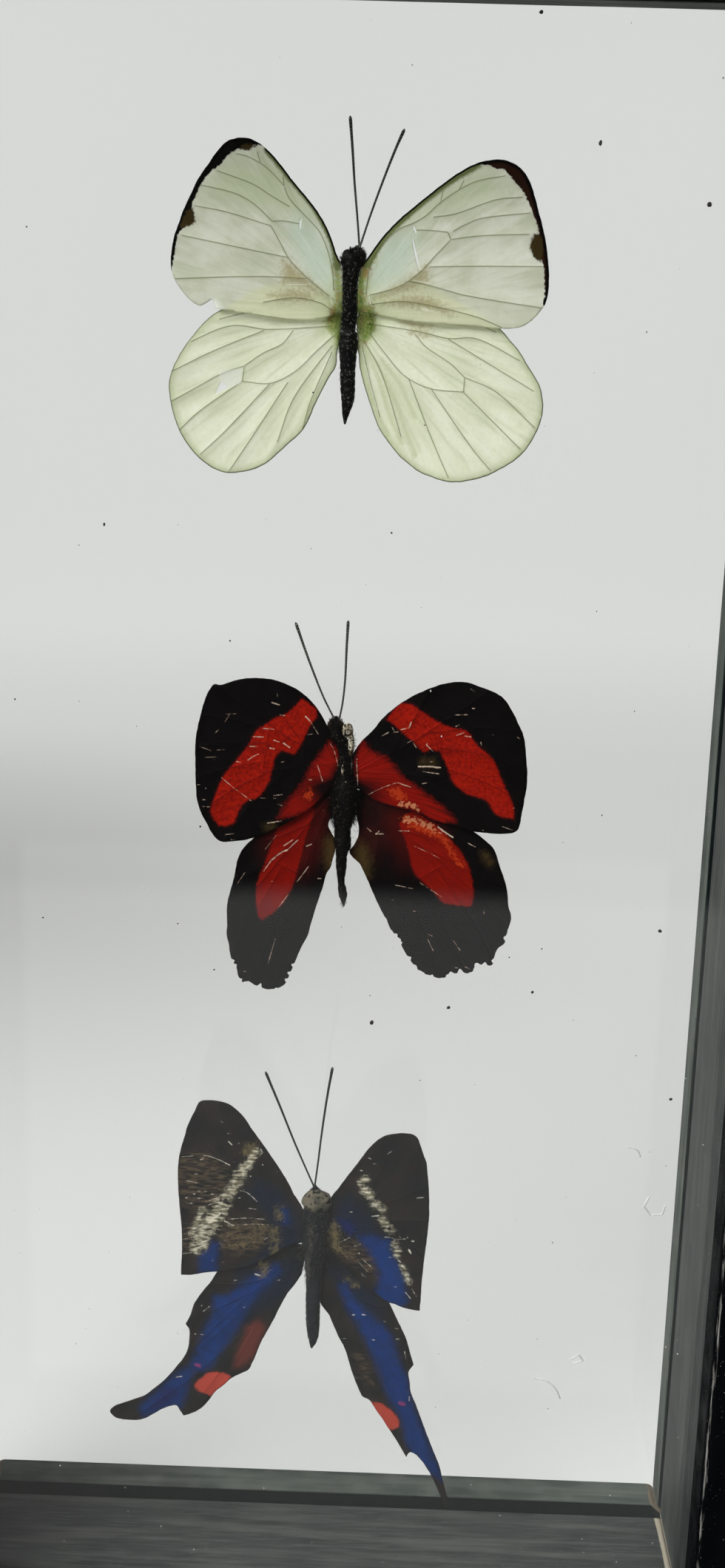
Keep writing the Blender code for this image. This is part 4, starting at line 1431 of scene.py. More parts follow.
RED_FORE_LEFT = WingPlan(
    veins=fan((-1.2, 2.4), (-12.5, 8), (-13.6, 0.4), ((-14, 16.2), (-21, 15), (-24, 10), (-25, 4.5),
        (-24.9, -1), (-24, -7), (-20, -11.8), (-11, -9.3))),
    marks=(
        Mark("band", ((-7.2, 13.2), (-5, 11.5), (-4.7, 10.4), (-5.5, 9), (-6.5, 7), (-7.3, 5.2), (-8.3, 3.6),
            (-10.5, 4.3), (-11.4, 3.2), (-12, 1), (-12.4, -1), (-13.4, -2.8), (-14.4, -4), (-16.4, -4.8),
            (-18, -7.5), (-18.3, -8.6), (-19.5, -9.2), (-21, -9.2), (-22.3, -6.8), (-21.4, -3.6),
            (-20.2, -0.5), (-18, 2.3), (-15.8, 5.5), (-14.8, 7.5), (-11.5, 9.8), (-9.5, 10.8), (-8.2, 12))),
        Mark("basal", ((-2.3, 6), (-3, 5), (-5.3, 1.5), (-6.8, -1.5), (-9.4, -5), (-10.6, -7.6), (-5, -6),
            (-1.8, -3), (-1.2, 0), (-0.8, 2), (-1, 4))),
        Mark("orange", ((-6.3, -3), (-5.6, -2.8), (-5.2, -3.4), (-5.4, -4.2), (-6.2, -4.1))),
        Mark("ochre", ((-12.8, -9.4), (-11.9, -9.1), (-11.4, -9.7), (-12.2, -10.3))),
    ),
    scratches=(
        *lines(0.2, ((-12.2, 12.5), (-10.9, 12.1)), ((-10.1, 5.5), (-9.1, 4.8)),
            ((-12.4, 4.6), (-11.7, 4.5)), ((-6.5, 10.2), (-5.8, 9.5))),
        *lines(0.12, ((-11.3, 14), (-11.3, 13.5)), ((-10.8, 10.4), (-10, 10.3)), ((-13.6, 8), (-11.8, 7.9)),
            ((-15.2, 6.5), (-13.5, 6.5)), ((-11.8, 6), (-10.9, 5.7)), ((-15.8, 4.8), (-14.5, 4.8)),
            ((-16.1, 2.4), (-15.3, 3), (-14.3, 3.5)), ((-18, 2.1), (-17.3, 2)),
            ((-11.6, -3.7), (-10.2, -3.5)), ((-12.6, -8.6), (-10.3, -8.1)), ((-4.3, 1.8), (-3.4, -1)),
            ((-10.4, 2.2), (-10, 2.3)), ((-11.7, -4.2), (-11.3, -4.2)), ((-24.6, -2.1), (-24.2, -2.1)),
            ((-23.7, -4.7), (-23.3, -4.7)), ((-5.7, -0.8), (-5.3, -0.8))),
        *lines(0.06, ((-19.9, 10.3), (-18.2, 10.4)), ((-19.2, 10.3), (-20, 9)), ((-24.2, 4.6), (-22.4, 3.9)),
            ((-21.3, 4), (-20.1, 4.1)), ((-23.3, 2.7), (-21.2, 2.8)), ((-20.5, -0.8), (-18, -2.8),
            (-15.4, -4.7)), ((-23.6, -5.9), (-22.4, -5.9)), ((-19.8, -10.8), (-18.3, -10.6)),
            ((-18.8, -11.7), (-18, -11.8)), ((-5.8, 9.5), (-5.2, 8.6), (-4.3, 7.2)),
            ((-2.3, 5.7), (-1.6, 4.5), (-0.6, 1.1))),
    ),
    strays=8,
    slant=0.3,
    pull=((-2, 0.3), (4.6, 0.35), (6.5, 0)),
)
RED_FORE_RIGHT = WingPlan(
    veins=fan((2.4, 1), (15, 8.5), (17.5, 0.5), ((14, 15.6), (24, 15.6), (29.5, 9), (31, 2), (30.8, -4),
        (29.4, -8.4), (22, -8.6), (13, -5.8))),
    marks=(
        Mark("band", ((10.3, 13), (11.8, 12.6), (14.5, 10.7), (18, 9.2), (20.5, 8.7), (22.4, 6.4), (25.2, 4),
            (27, 0.2), (29.1, -4), (29.2, -6.3), (26.2, -5.5), (24.6, -3.3), (21, -2.1), (18.6, 0),
            (17.9, 1.8), (16.3, 5), (14.8, 5.3), (13.6, 4.8), (11.4, 6.8), (8.6, 9.2), (7.2, 10.2),
            (9.2, 12.7))),
        Mark("basal", ((3, 6), (5.6, 4), (7.5, 3.2), (10, 0.4), (13.5, -2.2), (17.5, -5), (19.4, -7.1),
            (16, -7.5), (13, -5.7), (9, -5.1), (5.5, -4), (2.6, -2), (2.2, 3))),
        Mark("orange", ((8.1, -1.8), (9.7, -1.9), (11, -3.7), (9.5, -3.7), (8.3, -2.7))),
        Mark("cream", ((9.8, -4.1), (11.7, -4.2), (11.8, -4.8), (10, -4.7))),
        Mark("cream", ((12, -4.2), (12.8, -4.8), (12.9, -5.4), (12.3, -5.2))),
        Mark("ochre", ((13.7, 3), (15, 3)), 0.3),
    ),
    scratches=(
        *lines(0.28, ((12.8, 2.2), (14.6, 2.3), (16.5, 2.2))),
        *lines(0.12, ((13.6, 1.4), (16.3, 1.1)), ((10.8, 6.3), (11.5, 6.7), (12.3, 5.5)),
            ((14.1, 6.4), (14, 6), (15.1, 5)), ((9.6, 8.5), (11, 8.9), (11.3, 9.9)),
            ((8.4, 7.9), (9.1, 8.1)), ((6.5, 7.3), (7.5, 7.9)), ((18.6, 11.4), (20.7, 11.5)),
            ((18.8, 9.4), (19.3, 9.7)), ((19, 7.9), (20.2, 8.4)), ((20.4, 7.8), (21.4, 7.7)),
            ((27.4, -7.7), (29.1, -8.2)), ((9.3, -0.7), (11.6, -1.4)), ((2.3, 2.7), (2.6, -1.6)),
            ((21.4, 12.6), (21.8, 12.6))),
        *lines(0.06, ((3.7, -3.5), (6.5, -1.9), (9.3, -0.7)), ((5.7, -4.6), (9.2, -5.6), (13, -5.8))),
    ),
    strays=10,
    slant=-0.3,
    pull=((-2, 0.8), (3.6, 0.8), (6, 0)),
)
RED_HIND_LEFT = WingPlan(
    veins=fan((-1.4, -3), (-11, -16), (-6.6, -18), ((-15.5, -12.5), (-18.6, -20), (-19.5, -27),
        (-18.6, -33.4), (-15, -38), (-10.4, -38.6), (-6.6, -31.4), (-3.4, -21.4))),
    marks=(
        Mark("band", ((-10, -6), (-11.2, -10.5), (-13, -16), (-14.4, -20.5), (-14, -25.5), (-13.4, -26.3),
            (-11, -24.5), (-8.6, -20.8), (-7.4, -17), (-6.3, -12), (-4.6, -6))),
        Mark("ochre", ((-2.6, -11.5), (-1.3, -10.9), (-0.8, -12.3), (-0.8, -14.9), (-1.7, -17.4),
            (-2.5, -15))),
    ),
    scratches=(
        *lines(0.26, ((-11.9, -15.4), (-10.1, -13.9), (-9.3, -13.6))),
        *lines(0.14, ((-13.2, -17.4), (-11.9, -15.4)), ((-9.3, -13.6), (-7.4, -11.7)),
            ((-9.8, -12.8), (-8.3, -11.7)), ((-7.4, -19.2), (-5.5, -16.4)), ((-5.9, -12.8), (-5.1, -12.4)),
            ((-3.8, -18.5), (-3.3, -18.5))),
        *lines(0.07, ((-13, -13.5), (-11.2, -11)), ((-17.7, -19.8), (-16.4, -17.7)),
            ((-10.8, -24.3), (-8.9, -21.6)), ((-12.2, -34.3), (-11, -29.7)),
            ((-18.6, -30.8), (-18.3, -30.8)), ((-16.4, -35.9), (-16, -35.9))),
    ),
    strays=5,
    slant=0.8,
    pull=((-15, 0), (-13, 0.25), (-11, 0.1), (-9, 0), (-7, 0.5), (-1.8, 0.4)),
    ragged=(-32, 1.3),
)
RED_HIND_RIGHT = WingPlan(
    veins=fan((2.6, -4.4), (18, -15), (12, -19), ((25.5, -11.5), (28.8, -19), (29.4, -26), (27, -32),
        (22.5, -34.6), (17.6, -35.6), (11, -30.2), (4.6, -18))),
    marks=(
        Mark("band", ((9.8, -8.2), (11.5, -12.5), (12.8, -16.8), (16.5, -20.4), (18, -22), (22.8, -22.4),
            (23, -20), (22.2, -16), (20.2, -12.3), (17, -9), (12, -5.5))),
        Mark("ochre", ((2.6, -13.5), (3.4, -11.8), (4.3, -12.9), (5, -15.4), (4.9, -17.7), (3.5, -16.4),
            (2.6, -15.1))),
        Mark("cream", ((10.8, -7.6), (12.4, -7.6), (14.4, -8.2), (16, -9.1)), 0.7),
        Mark("orange", ((11, -7.4), (13.6, -8.6), (15.8, -9.6)), 1.2),
        Mark("orange", ((15.8, -8.8), (16.9, -10), (18.6, -12.2), (20.6, -15)), 0.7),
        Mark("ochre", ((24.6, -13), (25.8, -14.6)), 0.3),
    ),
    scratches=(
        *lines(0.26, ((16.5, -8.5), (17.8, -9.4), (19.1, -10.2))),
        *lines(0.12, ((21.8, -11.1), (23, -11.7)), ((4.4, -9.2), (5.1, -9.8)), ((5.9, -10.2), (7.2, -10.1)),
            ((6.5, -9.6), (5.9, -10.2)), ((9.8, -9.4), (11.6, -9.4))),
        *lines(0.06, ((12.6, -12.1), (14.8, -13), (16.9, -14)), ((9.6, -19.2), (12.5, -19.7)),
            ((13.8, -18.6), (17.6, -21)), ((15.5, -28.8), (16.5, -30.8)), ((19.9, -28.7), (21.2, -30.6)),
            ((12.8, -23.8), (13.2, -23.8)), ((8.9, -22), (9.3, -21.9)), ((23.1, -24.2), (23.5, -24.1)),
            ((20.5, -33.8), (20.9, -33.8))),
    ),
    strays=7,
    slant=-0.6,
    pull=((-15, 0), (-13.6, 0.3), (-11, 0), (-9, 0.1), (-6, 0.5), (-2.6, 0.6)),
    ragged=(-25, 1.0),
)

BLUE_FORE_LEFT = WingPlan(
    veins=fan((-2.6, 2), (-13, 12), (-14.6, 4.6), ((-12, 22.6), (-17, 26.6), (-22.6, 22), (-24.2, 14),
        (-24, 6), (-23.6, 0), (-22, -7.2), (-10, -4.6))),
    marks=(
        Mark("navy", ((-9.9, 11.7), (-6.9, 10.3), (-2.8, 4.6), (-1.8, -4.4), (-3.5, -7.1), (-10.3, -8),
            (-13.5, -6.6), (-10.4, -3.9), (-7.3, 1.4), (-9.8, 7), (-11.9, 9.4))),
        Mark("rubbed", ((-24.3, 16.7), (-20.4, 17.4), (-16.6, 15.5), (-15, 12.2), (-16.6, 7), (-21.7, 5.3),
            (-24.1, 8.2))),
        Mark("rubbed", ((-15.9, 4), (-8.2, 3.8), (-6.8, 1.4), (-8.7, -0.4), (-9.5, -2), (-14, -3.6),
            (-16.5, -1.9), (-16.8, 1.8))),
        Mark("rubbed", ((-24.7, 2.2), (-21.7, 3.8), (-19.2, -0.3), (-20.8, -3.6), (-24.1, -2.8))),
        Mark("tan", ((-11.9, 18.6), (-10.4, 18.9), (-10, 16.6), (-11.2, 15.7), (-12.4, 16.2),
            (-13.2, 17.1))),
        Mark("pale", ((-10.4, 17.2), (-11.6, 15.1), (-12.9, 13.7)), 1.3),
        Mark("pale", ((-13.1, 13), (-13.9, 11.2), (-15.1, 9.1), (-16.3, 7)), 1.9),
        Mark("pale", ((-16.3, 7), (-17.4, 4.9), (-18.6, 2.5), (-19.8, 0.3), (-20.6, -2)), 2.8),
        Mark("pale", ((-19.7, 5.7), (-21.7, 1.1)), 1),
        Mark("tan", ((-16.1, -1.5), (-11.8, -1), (-9.3, -0.3)), 0.7),
        Mark("tan", ((-15.4, 2.6), (-11.8, 2.2), (-8.3, 2.5)), 0.6),
        Mark("tan", ((-15.8, 0.6), (-11.8, 0.4), (-8.9, 1.1)), 0.6),
        Mark("tan", ((-6.5, 6.3), (-5.4, 5.9), (-5.6, 3.9), (-6.4, 4.1))),
        Mark("tan", ((-7.5, 2), (-6.1, 2.4), (-6, -3.6), (-7.3, -4))),
        Mark("tan", ((-9.7, -4.5), (-8.2, -4.2), (-8.3, -6.7), (-9.5, -7.1))),
        Mark("blue", ((-18.3, -1), (-16.8, -1.2), (-17.2, -3.8), (-17.4, -6.8), (-20.4, -7.1), (-20.2, -3.6),
            (-18.5, -2))),
        Mark("blue", ((-5.4, 5.9), (-4.6, 5.7), (-4.3, 3.6), (-5.1, 3.1))),
        Mark("violet", ((-9.1, -5), (-7.5, -4.6), (-6.7, -7), (-8.7, -7.5))),
    ),
    scratches=(
        *lines(0.22, ((-15.3, 19.2), (-14.7, 18.6)), ((-15.9, 3.5), (-15.2, 3.2), (-14.5, 2.6)),
            ((-20.8, -2.1), (-19.5, -1.6)), ((-18.2, 3.8), (-16.6, 4.9)), ((-20.4, -1.2), (-18.7, -0.4))),
        *lines(0.12, ((-18.7, 16.2), (-16.9, 15.5), (-15, 14.5)), ((-13.2, 9.6), (-11.9, 9.2), (-10.9, 8.4),
            (-10.1, 7.5)), ((-11.6, 6.1), (-10.1, 5.9)), ((-9.6, 17.8), (-9.2, 17.1), (-9.7, 16.5)),
            ((-23, 7.9), (-22.6, 7.9)), ((-21.6, 8.7), (-21.2, 8.7)), ((-20.7, 9.3), (-20.3, 9.3)),
            ((-19.6, 9.2), (-19.2, 9.2)), ((-22.2, 6.9), (-21.8, 6.9)), ((-20.7, 7.9), (-20.3, 7.9)),
            ((-20.3, 15.5), (-20, 15.5)), ((-21.3, 12.7), (-20.8, 12.7)), ((-18.3, 8.7), (-17.9, 8.7)),
            ((-13.4, 8.1), (-13, 8.2))),
        *lines(0.07, ((-23.6, 16), (-21.6, 16.2)), ((-19.7, 16.3), (-18.7, 16.2)),
            ((-23.1, 11.4), (-20.9, 10.9)), ((-15.2, 3.9), (-11.8, 4.2), (-8.7, 4)),
            ((-15.2, 2.6), (-11.1, 3), (-8, 2.9)), ((-23.3, 0.8), (-19.9, 1.7)),
            ((-23.6, -0.4), (-20.3, 0.3)), ((-23.6, -3.3), (-20.8, -3)), ((-19.3, 7.3), (-16.6, 8.2)),
            ((-18.9, 6.6), (-17.1, 7.3)), ((-16.3, -4.9), (-15.9, -4.9)), ((-18.3, -4.6), (-17.9, -4.6))),
    ),
    strays=14,
    slant=0.05,
    pull=((-1, 0.9), (5, 0.9), (7.5, 0.4), (9, 0)),
)
BLUE_FORE_RIGHT = WingPlan(
    veins=fan((3.6, 2), (11.6, 9.6), (13, 2), ((9, 17), (14, 21.6), (19, 19.4), (20.8, 12), (21, 5),
        (20.5, -2), (20.2, -11), (11, -9.4))),
    marks=(
        Mark("navy", ((3.9, 6.6), (6.9, 9.4), (10.4, 5.1), (12.1, 1.9), (9.1, 0.9), (6.4, 1.7), (4, 3.4))),
        Mark("pale", ((8.6, 11.8), (9.4, 12.7)), 1.1),
        Mark("pale", ((9.3, 10.4), (10.5, 9.4)), 1.4),
        Mark("pale", ((11, 7.7), (11.9, 7.8), (12.8, 6.8)), 1.1),
        Mark("pale", ((12.7, 4.7), (13.5, 3.6), (14.2, 2.8)), 1.2),
        Mark("pale", ((15.1, -0.1), (15.6, -2)), 1.1),
        Mark("pale", ((16.5, -4.2), (17.3, -6), (17.9, -7.6)), 0.7),
        Mark("blue", ((8.3, 1.3), (11.2, 1.4), (14.1, 0.9), (14.6, -1.7), (16.1, -4.5), (17, -7.8),
            (17.5, -11.4), (16.5, -12.8), (14.3, -12.5), (12, -10.1), (12.4, -6.8), (11.6, -3.8))),
        Mark("violet", ((4.7, 4.4), (6.6, 4.3), (7.8, 2.6), (7, 1.4), (5.5, 2.8))),
        Mark("tan", ((3.3, 3.6), (4.1, 3.8), (5.2, 1.6), (5, -0.8), (7, -3.1), (5.6, -2.9), (3.8, -1.4),
            (3.2, 1.2))),
        Mark("rubbed", ((6.5, 0.5), (9.2, -0.6), (11.4, -2.9), (12.1, -7.1), (9.6, -6.3), (7.4, -4),
            (5.5, -2.6))),
    ),
    scratches=(
        *lines(0.34, ((17.7, -0.9), (18, -1.6))),
        *lines(0.2, ((10.8, 5.3), (12, 5.6)), ((15.8, -3.2), (16.3, -3.5)), ((18.1, 0.8), (18.5, 0.8)),
            ((16.5, -4.2), (17, -4.6))),
        *lines(0.1, ((18.7, 9.4), (20, 9.6)), ((17.3, -9.6), (18.3, -10.8)), ((18.5, -8.8), (19, -9.7)),
            ((8.4, 14.3), (8.9, 14.3)), ((10.8, 15.7), (11.2, 15.7)), ((6.8, 6), (7.2, 6)),
            ((15.2, -8.6), (15.6, -8.6)), ((14.1, -2.7), (14.5, -2.6))),
        *lines(0.07, ((13.4, 1.5), (15.2, 1.1), (17, 1.2)), ((13.1, 17.8), (14, 18.4)),
            ((5.4, 0), (6.9, 0.9)), ((7.6, -0.8), (8.9, -0.3)), ((8.6, -3.9), (10.3, -5.7)),
            ((9.3, -3.2), (11.1, -5)), ((16.8, -6.9), (17.7, -7.6))),
    ),
    strays=8,
    slant=-0.5,
    pull=((-1.5, 0.9), (5, 0.9), (7.5, 0.5), (9, 0)),
)
BLUE_HIND_LEFT = WingPlan(
    veins=fan((-2.8, -3), (-14.5, -15), (-10.5, -18.5), ((-18, -9.6), (-22.6, -17), (-23.4, -25),
        (-31, -33.4), (-33, -38), (-22.6, -36.8), (-15.4, -30), (-6.4, -16))),
    marks=(
        Mark("navy", ((-13.5, -6.6), (-2.9, -4.7), (-3.1, -9.7), (-6.6, -13.6), (-9.3, -15.3),
            (-12.2, -18.5), (-15, -14), (-14.2, -10.6))),
        Mark("tan", ((-9.6, -4.7), (-7.8, -4.6), (-8.3, -7.9), (-9.6, -8))),
        Mark("blue", ((-17.8, -12.3), (-18, -15.6), (-19.5, -19.2), (-20.2, -21.4), (-21.6, -25.5),
            (-22.8, -27.1), (-25.3, -29.1), (-27.1, -31.2), (-30.1, -34), (-31.5, -35.8), (-30.7, -37.6),
            (-27.8, -37), (-26.5, -36), (-24.8, -36.1), (-23.5, -35), (-22.6, -31.6), (-21.5, -28.1),
            (-18.1, -26.9), (-17.1, -24.8), (-14.7, -21.2), (-13.3, -18.5), (-11.3, -14.3), (-8.3, -10.2),
            (-5.6, -6.9), (-6.4, -5.4), (-9.7, -7.4), (-13, -10.1), (-15.1, -11.9))),
        Mark("violet", ((-27.1, -32.1), (-24.2, -30.7), (-24.6, -33), (-28, -35.6), (-29.4, -36))),
        Mark("red", ((-21.3, -30.6), (-20, -29.2), (-18.1, -28), (-15.6, -28.2), (-14.5, -28.8), (-15, -30),
            (-16.8, -32.6), (-18, -33), (-19.7, -32.3), (-21, -31.6))),
        Mark("dull", ((-11.7, -18.6), (-9.5, -16.8), (-8.5, -18.6), (-9.1, -21.1), (-10.4, -24.6),
            (-12.7, -26.8), (-13.9, -27), (-13.3, -23.4), (-12.1, -20.3))),
        Mark("dot", ((-21, -26.6), (-20.4, -26.7)), 0.7),
    ),
    scratches=(
        *lines(0.2, ((-24.6, -29.2), (-23.6, -29)), ((-10.3, -7.6), (-9.4, -7.8))),
        *lines(0.1, ((-14.1, -8.9), (-13.6, -8.9)), ((-6.2, -8.8), (-5.7, -8.7)),
            ((-20.2, -20.2), (-19.7, -20.2)), ((-19.7, -15.4), (-18.6, -14.4))),
    ),
    strays=2,
    slant=0.8,
    pull=((-11, 0), (-9, 0.6), (-7.4, 1.2), (-3, 1.1), (-0.5, 0.9)),
)
BLUE_HIND_RIGHT = WingPlan(
    veins=fan((3.4, -3.6), (13.6, -21), (9.6, -23), ((14.8, -13), (19.2, -24.6), (19, -30.6), (24.2, -44),
        (25.6, -53), (19.6, -43.6), (12.6, -34.6), (4.4, -17.6))),
    marks=(
        Mark("navy", ((2.6, -6), (6.4, -6.4), (10.8, -9.9), (13.7, -15.1), (11, -15.2), (6.8, -11.9))),
        Mark("blue", ((5.2, -9.5), (6.8, -14), (9.4, -18.5), (11.8, -23.9), (13.5, -28.2), (15.1, -32.2),
            (17.4, -36.2), (18.4, -40.6), (20.2, -44), (22.2, -46.2), (24.2, -48), (25.7, -49.2),
            (24.4, -45.8), (22, -39.8), (19.8, -34.2), (19, -31.4), (18.2, -28), (16.4, -23.7),
            (15.2, -19.5), (12.4, -16.2), (9, -13), (7.3, -10.6), (6.2, -8.9))),
        Mark("rubbed", ((8.4, -22.5), (10.1, -23.4), (11.3, -27.1), (11.9, -29.5), (10.5, -29.3),
            (9.1, -26.2))),
        Mark("tan", ((6.7, -8.1), (8.3, -9.2)), 0.8),
        Mark("red", ((11.8, -33.1), (13.7, -33.4), (15.7, -34.9), (17, -36.7), (17, -38.1), (15.7, -39),
            (14.5, -38.2), (13.1, -36.1))),
        Mark("dot", ((17.2, -33.1), (17.7, -33.2)), 0.8),
    ),
    scratches=(
        *lines(0.26, ((9.6, -15.1), (10.1, -15.1))),
        *lines(0.14, ((11.6, -20.2), (12, -20.2)), ((7.7, -15.3), (8.2, -15.3)),
            ((18.8, -31.6), (18.8, -32.4)), ((19.2, -44.4), (19.6, -44.2))),
        *lines(0.1, ((15.7, -17.6), (16.2, -17.6)), ((16, -19.8), (16.6, -19.7)),
            ((17.6, -22.2), (17.9, -23.7)), ((6.2, -20.3), (6.7, -20.3)), ((13.6, -16.3), (14.1, -16.3))),
    ),
    strays=2,
    slant=-1,
    pull=((-15.5, 0), (-13.6, 0.6), (-8, 0.9), (-3, 0.9), (-0.5, 0.9)),
    lift=((0.5, 1.6), (4.2, 1.6), (6, 0)),
)


# ---------------------------------------------------------------------------------------------
# Bodies, feelers and stand-off posts
# ---------------------------------------------------------------------------------------------


@dataclass(frozen=True)
class Tuft:
    """A brush of longer hair that grows from the body."""

    root: Triple  # from the thorax, in front of it where y is negative
    spread: Triple  # how far the roots scatter
    way: Triple
    length: float
    count: int


@dataclass(frozen=True)
class Coats:
    """The finishes of one body."""

    skin: Coat
    hair: Coat
    tuft: Coat
    eye: Coat
    collar: Coat | None = None


@dataclass
class Body:
    """Head, thorax, abdomen and legs of one specimen, with its hair."""

    species: Species
    centre: Triple
    stations: Line  # (x, z, radius) from the head to the end of the abdomen
    neck: float  # the heights of the neck and the waist
    waist: float
    coats: Coats
    tufts: tuple[Tuft, ...]
    collars: Line  # each a cushion's middle and half sizes
    seed: int
    hair: int = 3200
    hair_radius: float = 0.035
    segment: float = 1.25  # the length of one ring of the abdomen
    sides: int = 32
    legs: tuple[float, ...] = (5.2, 2.4, -0.4)  # the heights of the three pairs
    bends: Line = ((0.0, 0.0, 0.0), (-0.4, 0.9, 1.2), (-0.1, 1.7, -2.2), (0.1, 1.5, -4.6))

    def __post_init__(self) -> None:
        """Smooths the stations and notes the node's name."""
        self.line = smooth_line(self.stations, 0.22, corner=2.0)
        self.line[:, 2] = np.maximum(self.line[:, 2], 0.1)
        self.node = f"{self.species.value}_body"

    def width_at(self, height: float) -> Pair:
        """Measures the body at a height.

        Args:
            height: The height above the thorax.

        Returns:
            Its middle along X and its radius.
        """
        order = np.argsort(self.line[:, 1])
        spine = self.line[order]
        middle = np.interp(height, spine[:, 1], spine[:, 0])
        return float(middle), float(np.interp(height, spine[:, 1], spine[:, 2]))

    def trunk(self) -> tuple[np.ndarray, list]:
        """The turned form of the body with the rings of its abdomen."""
        x, z, radius = self.line.T
        below = np.clip(self.waist - z, 0, None)
        gap = np.abs((below / self.segment + 0.5) % 1 - 0.5) * self.segment
        shrink = np.where(below > 0.3, 0.09 * np.exp(-((gap / 0.16) ** 2)), 0.1)
        spine = np.stack([x, np.zeros_like(x), z], -1)
        return tube(spine, radius * (1 - shrink) * (1 + 0.05 * wave(spine, 1.1, self.seed)), self.sides)

    def leg(self, height: float, side: int) -> tuple[np.ndarray, list]:
        """One folded leg.

        Args:
            height: The height of its root.
            side: -1 for the left, 1 for the right.

        Returns:
            The corners and the faces.
        """
        middle, radius = self.width_at(height)
        path = [
            (middle + side * (0.55 * radius - bend[0]), 0.62 * radius + bend[1], height + bend[2])
            for bend in self.bends
        ]
        line = smooth_line(path, 0.2, corner=0.4)
        share = np.linspace(0, 1, len(line))
        knee = np.exp(-(((share - 0.22) / 0.05) ** 2)) + np.exp(-(((share - 0.62) / 0.04) ** 2))
        return tube(line, 0.26 - 0.15 * share + 0.05 * knee, 8)

    def build_form(self) -> bpy.types.Object:
        """Makes the trunk, eyes, palps and legs as one grown piece."""
        parts = MeshParts()
        parts.add(*self.trunk())
        for height in self.legs:
            for side in (-1, 1):
                parts.add(*self.leg(height, side))
        eyes = (self.stations[0][1] + self.neck) / 2
        middle, radius = self.width_at(eyes)
        for side in (-1, 1):
            first = np.array([middle + side * 0.3 * radius, -0.6 * radius, eyes])
            palp = smooth_line([first, first + (side * 0.1, -0.5, 0.7), first + (side * 0.1, -0.5, 1.4)], 0.1)
            parts.add(*tube(palp, np.linspace(0.2, 0.1, len(palp)), 8))
        slots = [0] * len(parts.faces)
        for side in (-1, 1):
            place = (middle + side * 0.6 * radius, -0.2 * radius, eyes)
            parts.add(*ball(place, (0.5 * radius, 0.56 * radius, 0.6 * radius), 20))
        slots += [1] * (len(parts.faces) - len(slots))
        finishes = [self.coats.skin.material(), self.coats.eye.material()]
        for place in self.collars:
            spots, faces = ball(place[:3], place[3:], 36)
            spots += (spots - place[:3]) * (0.09 * wave(spots, 0.9, self.seed + 2.0))[:, None]
            parts.add(spots, faces)
        slots += [2] * (len(parts.faces) - len(slots))
        if self.coats.collar:
            finishes.append(self.coats.collar.material())
        points, slots = parts.place() + self.centre, np.array(slots)
        name = f"{self.node}_form"
        return add_piece(name, points, parts.faces, finishes, "insect_fur", (self.node,), slots=slots)

    def build_fur(
        self, title: str, coat: Coat, roots: np.ndarray, ways: np.ndarray, lengths: np.ndarray,
        droop: np.ndarray,
    ) -> bpy.types.Object:
        """Makes a piece of many hairs.

        Args:
            title: What its name adds to the node's.
            coat: Its finish.
            roots: Where the hairs stand, from the thorax.
            ways: The direction of each hair, of any length.
            lengths: The length of each hair.
            droop: The way that the tips bend.

        Returns:
            The new piece.
        """
        ways = ways / np.linalg.norm(ways, axis=1, keepdims=True)
        points, faces = hairs(roots + self.centre, ways, lengths, self.hair_radius, droop)
        return add_piece(f"{self.node}_{title}", points, faces, [coat.material()], "insect_fur", (self.node,))

    def build_hair(self) -> bpy.types.Object:
        """Makes the short coat that covers the head, thorax and abdomen."""
        draw = np.random.default_rng(self.seed)
        share = draw.random(self.hair)
        weight = self.line[:, 2] * np.where(self.line[:, 1] > self.waist, 2.2, 1.0)
        total = np.cumsum(weight) / weight.sum()
        order = np.arange(len(total))
        x, z, radius = (np.interp(np.interp(share, total, order), order, column) for column in self.line.T)
        turn = draw.uniform(0, 2 * math.pi, self.hair)
        flat = np.zeros_like(turn)
        out = np.stack([np.cos(turn), np.sin(turn), flat], -1)
        roots = np.stack([x, flat, z], -1) + out * (radius * 0.86)[:, None]
        ways = out * 0.55 + np.stack([flat, flat, np.where(z > self.neck, 0.7, -1.3)], -1)
        ways += draw.normal(0, 0.28, ways.shape)
        lengths = np.where(z < self.waist, 0.5, np.where(z > self.neck, 0.6, 1.0))
        lengths = lengths * draw.uniform(0.6, 1.25, self.hair) * np.clip(radius / 1.2, 0.4, 1.2)
        droop = draw.normal(0, 0.12, roots.shape)
        return self.build_fur("hair", self.coats.hair, roots, ways, lengths, droop)

    def build_tufts(self) -> bpy.types.Object:
        """Makes the brushes of longer hair at the wing roots and the head."""
        draw = np.random.default_rng(self.seed + 50)
        roots, ways, lengths = [], [], []
        for tuft in self.tufts:
            roots.append(tuft.root + draw.normal(0, 0.5, (tuft.count, 3)) * tuft.spread)
            ways.append(tuft.way + draw.normal(0, 0.3, (tuft.count, 3)))
            lengths.append(tuft.length * draw.uniform(0.5, 1.15, tuft.count))
        roots, ways, lengths = (np.concatenate(rows) for rows in (roots, ways, lengths))
        droop = draw.normal(0, 0.16, roots.shape)
        return self.build_fur("tufts", self.coats.tuft, roots, ways, lengths, droop)


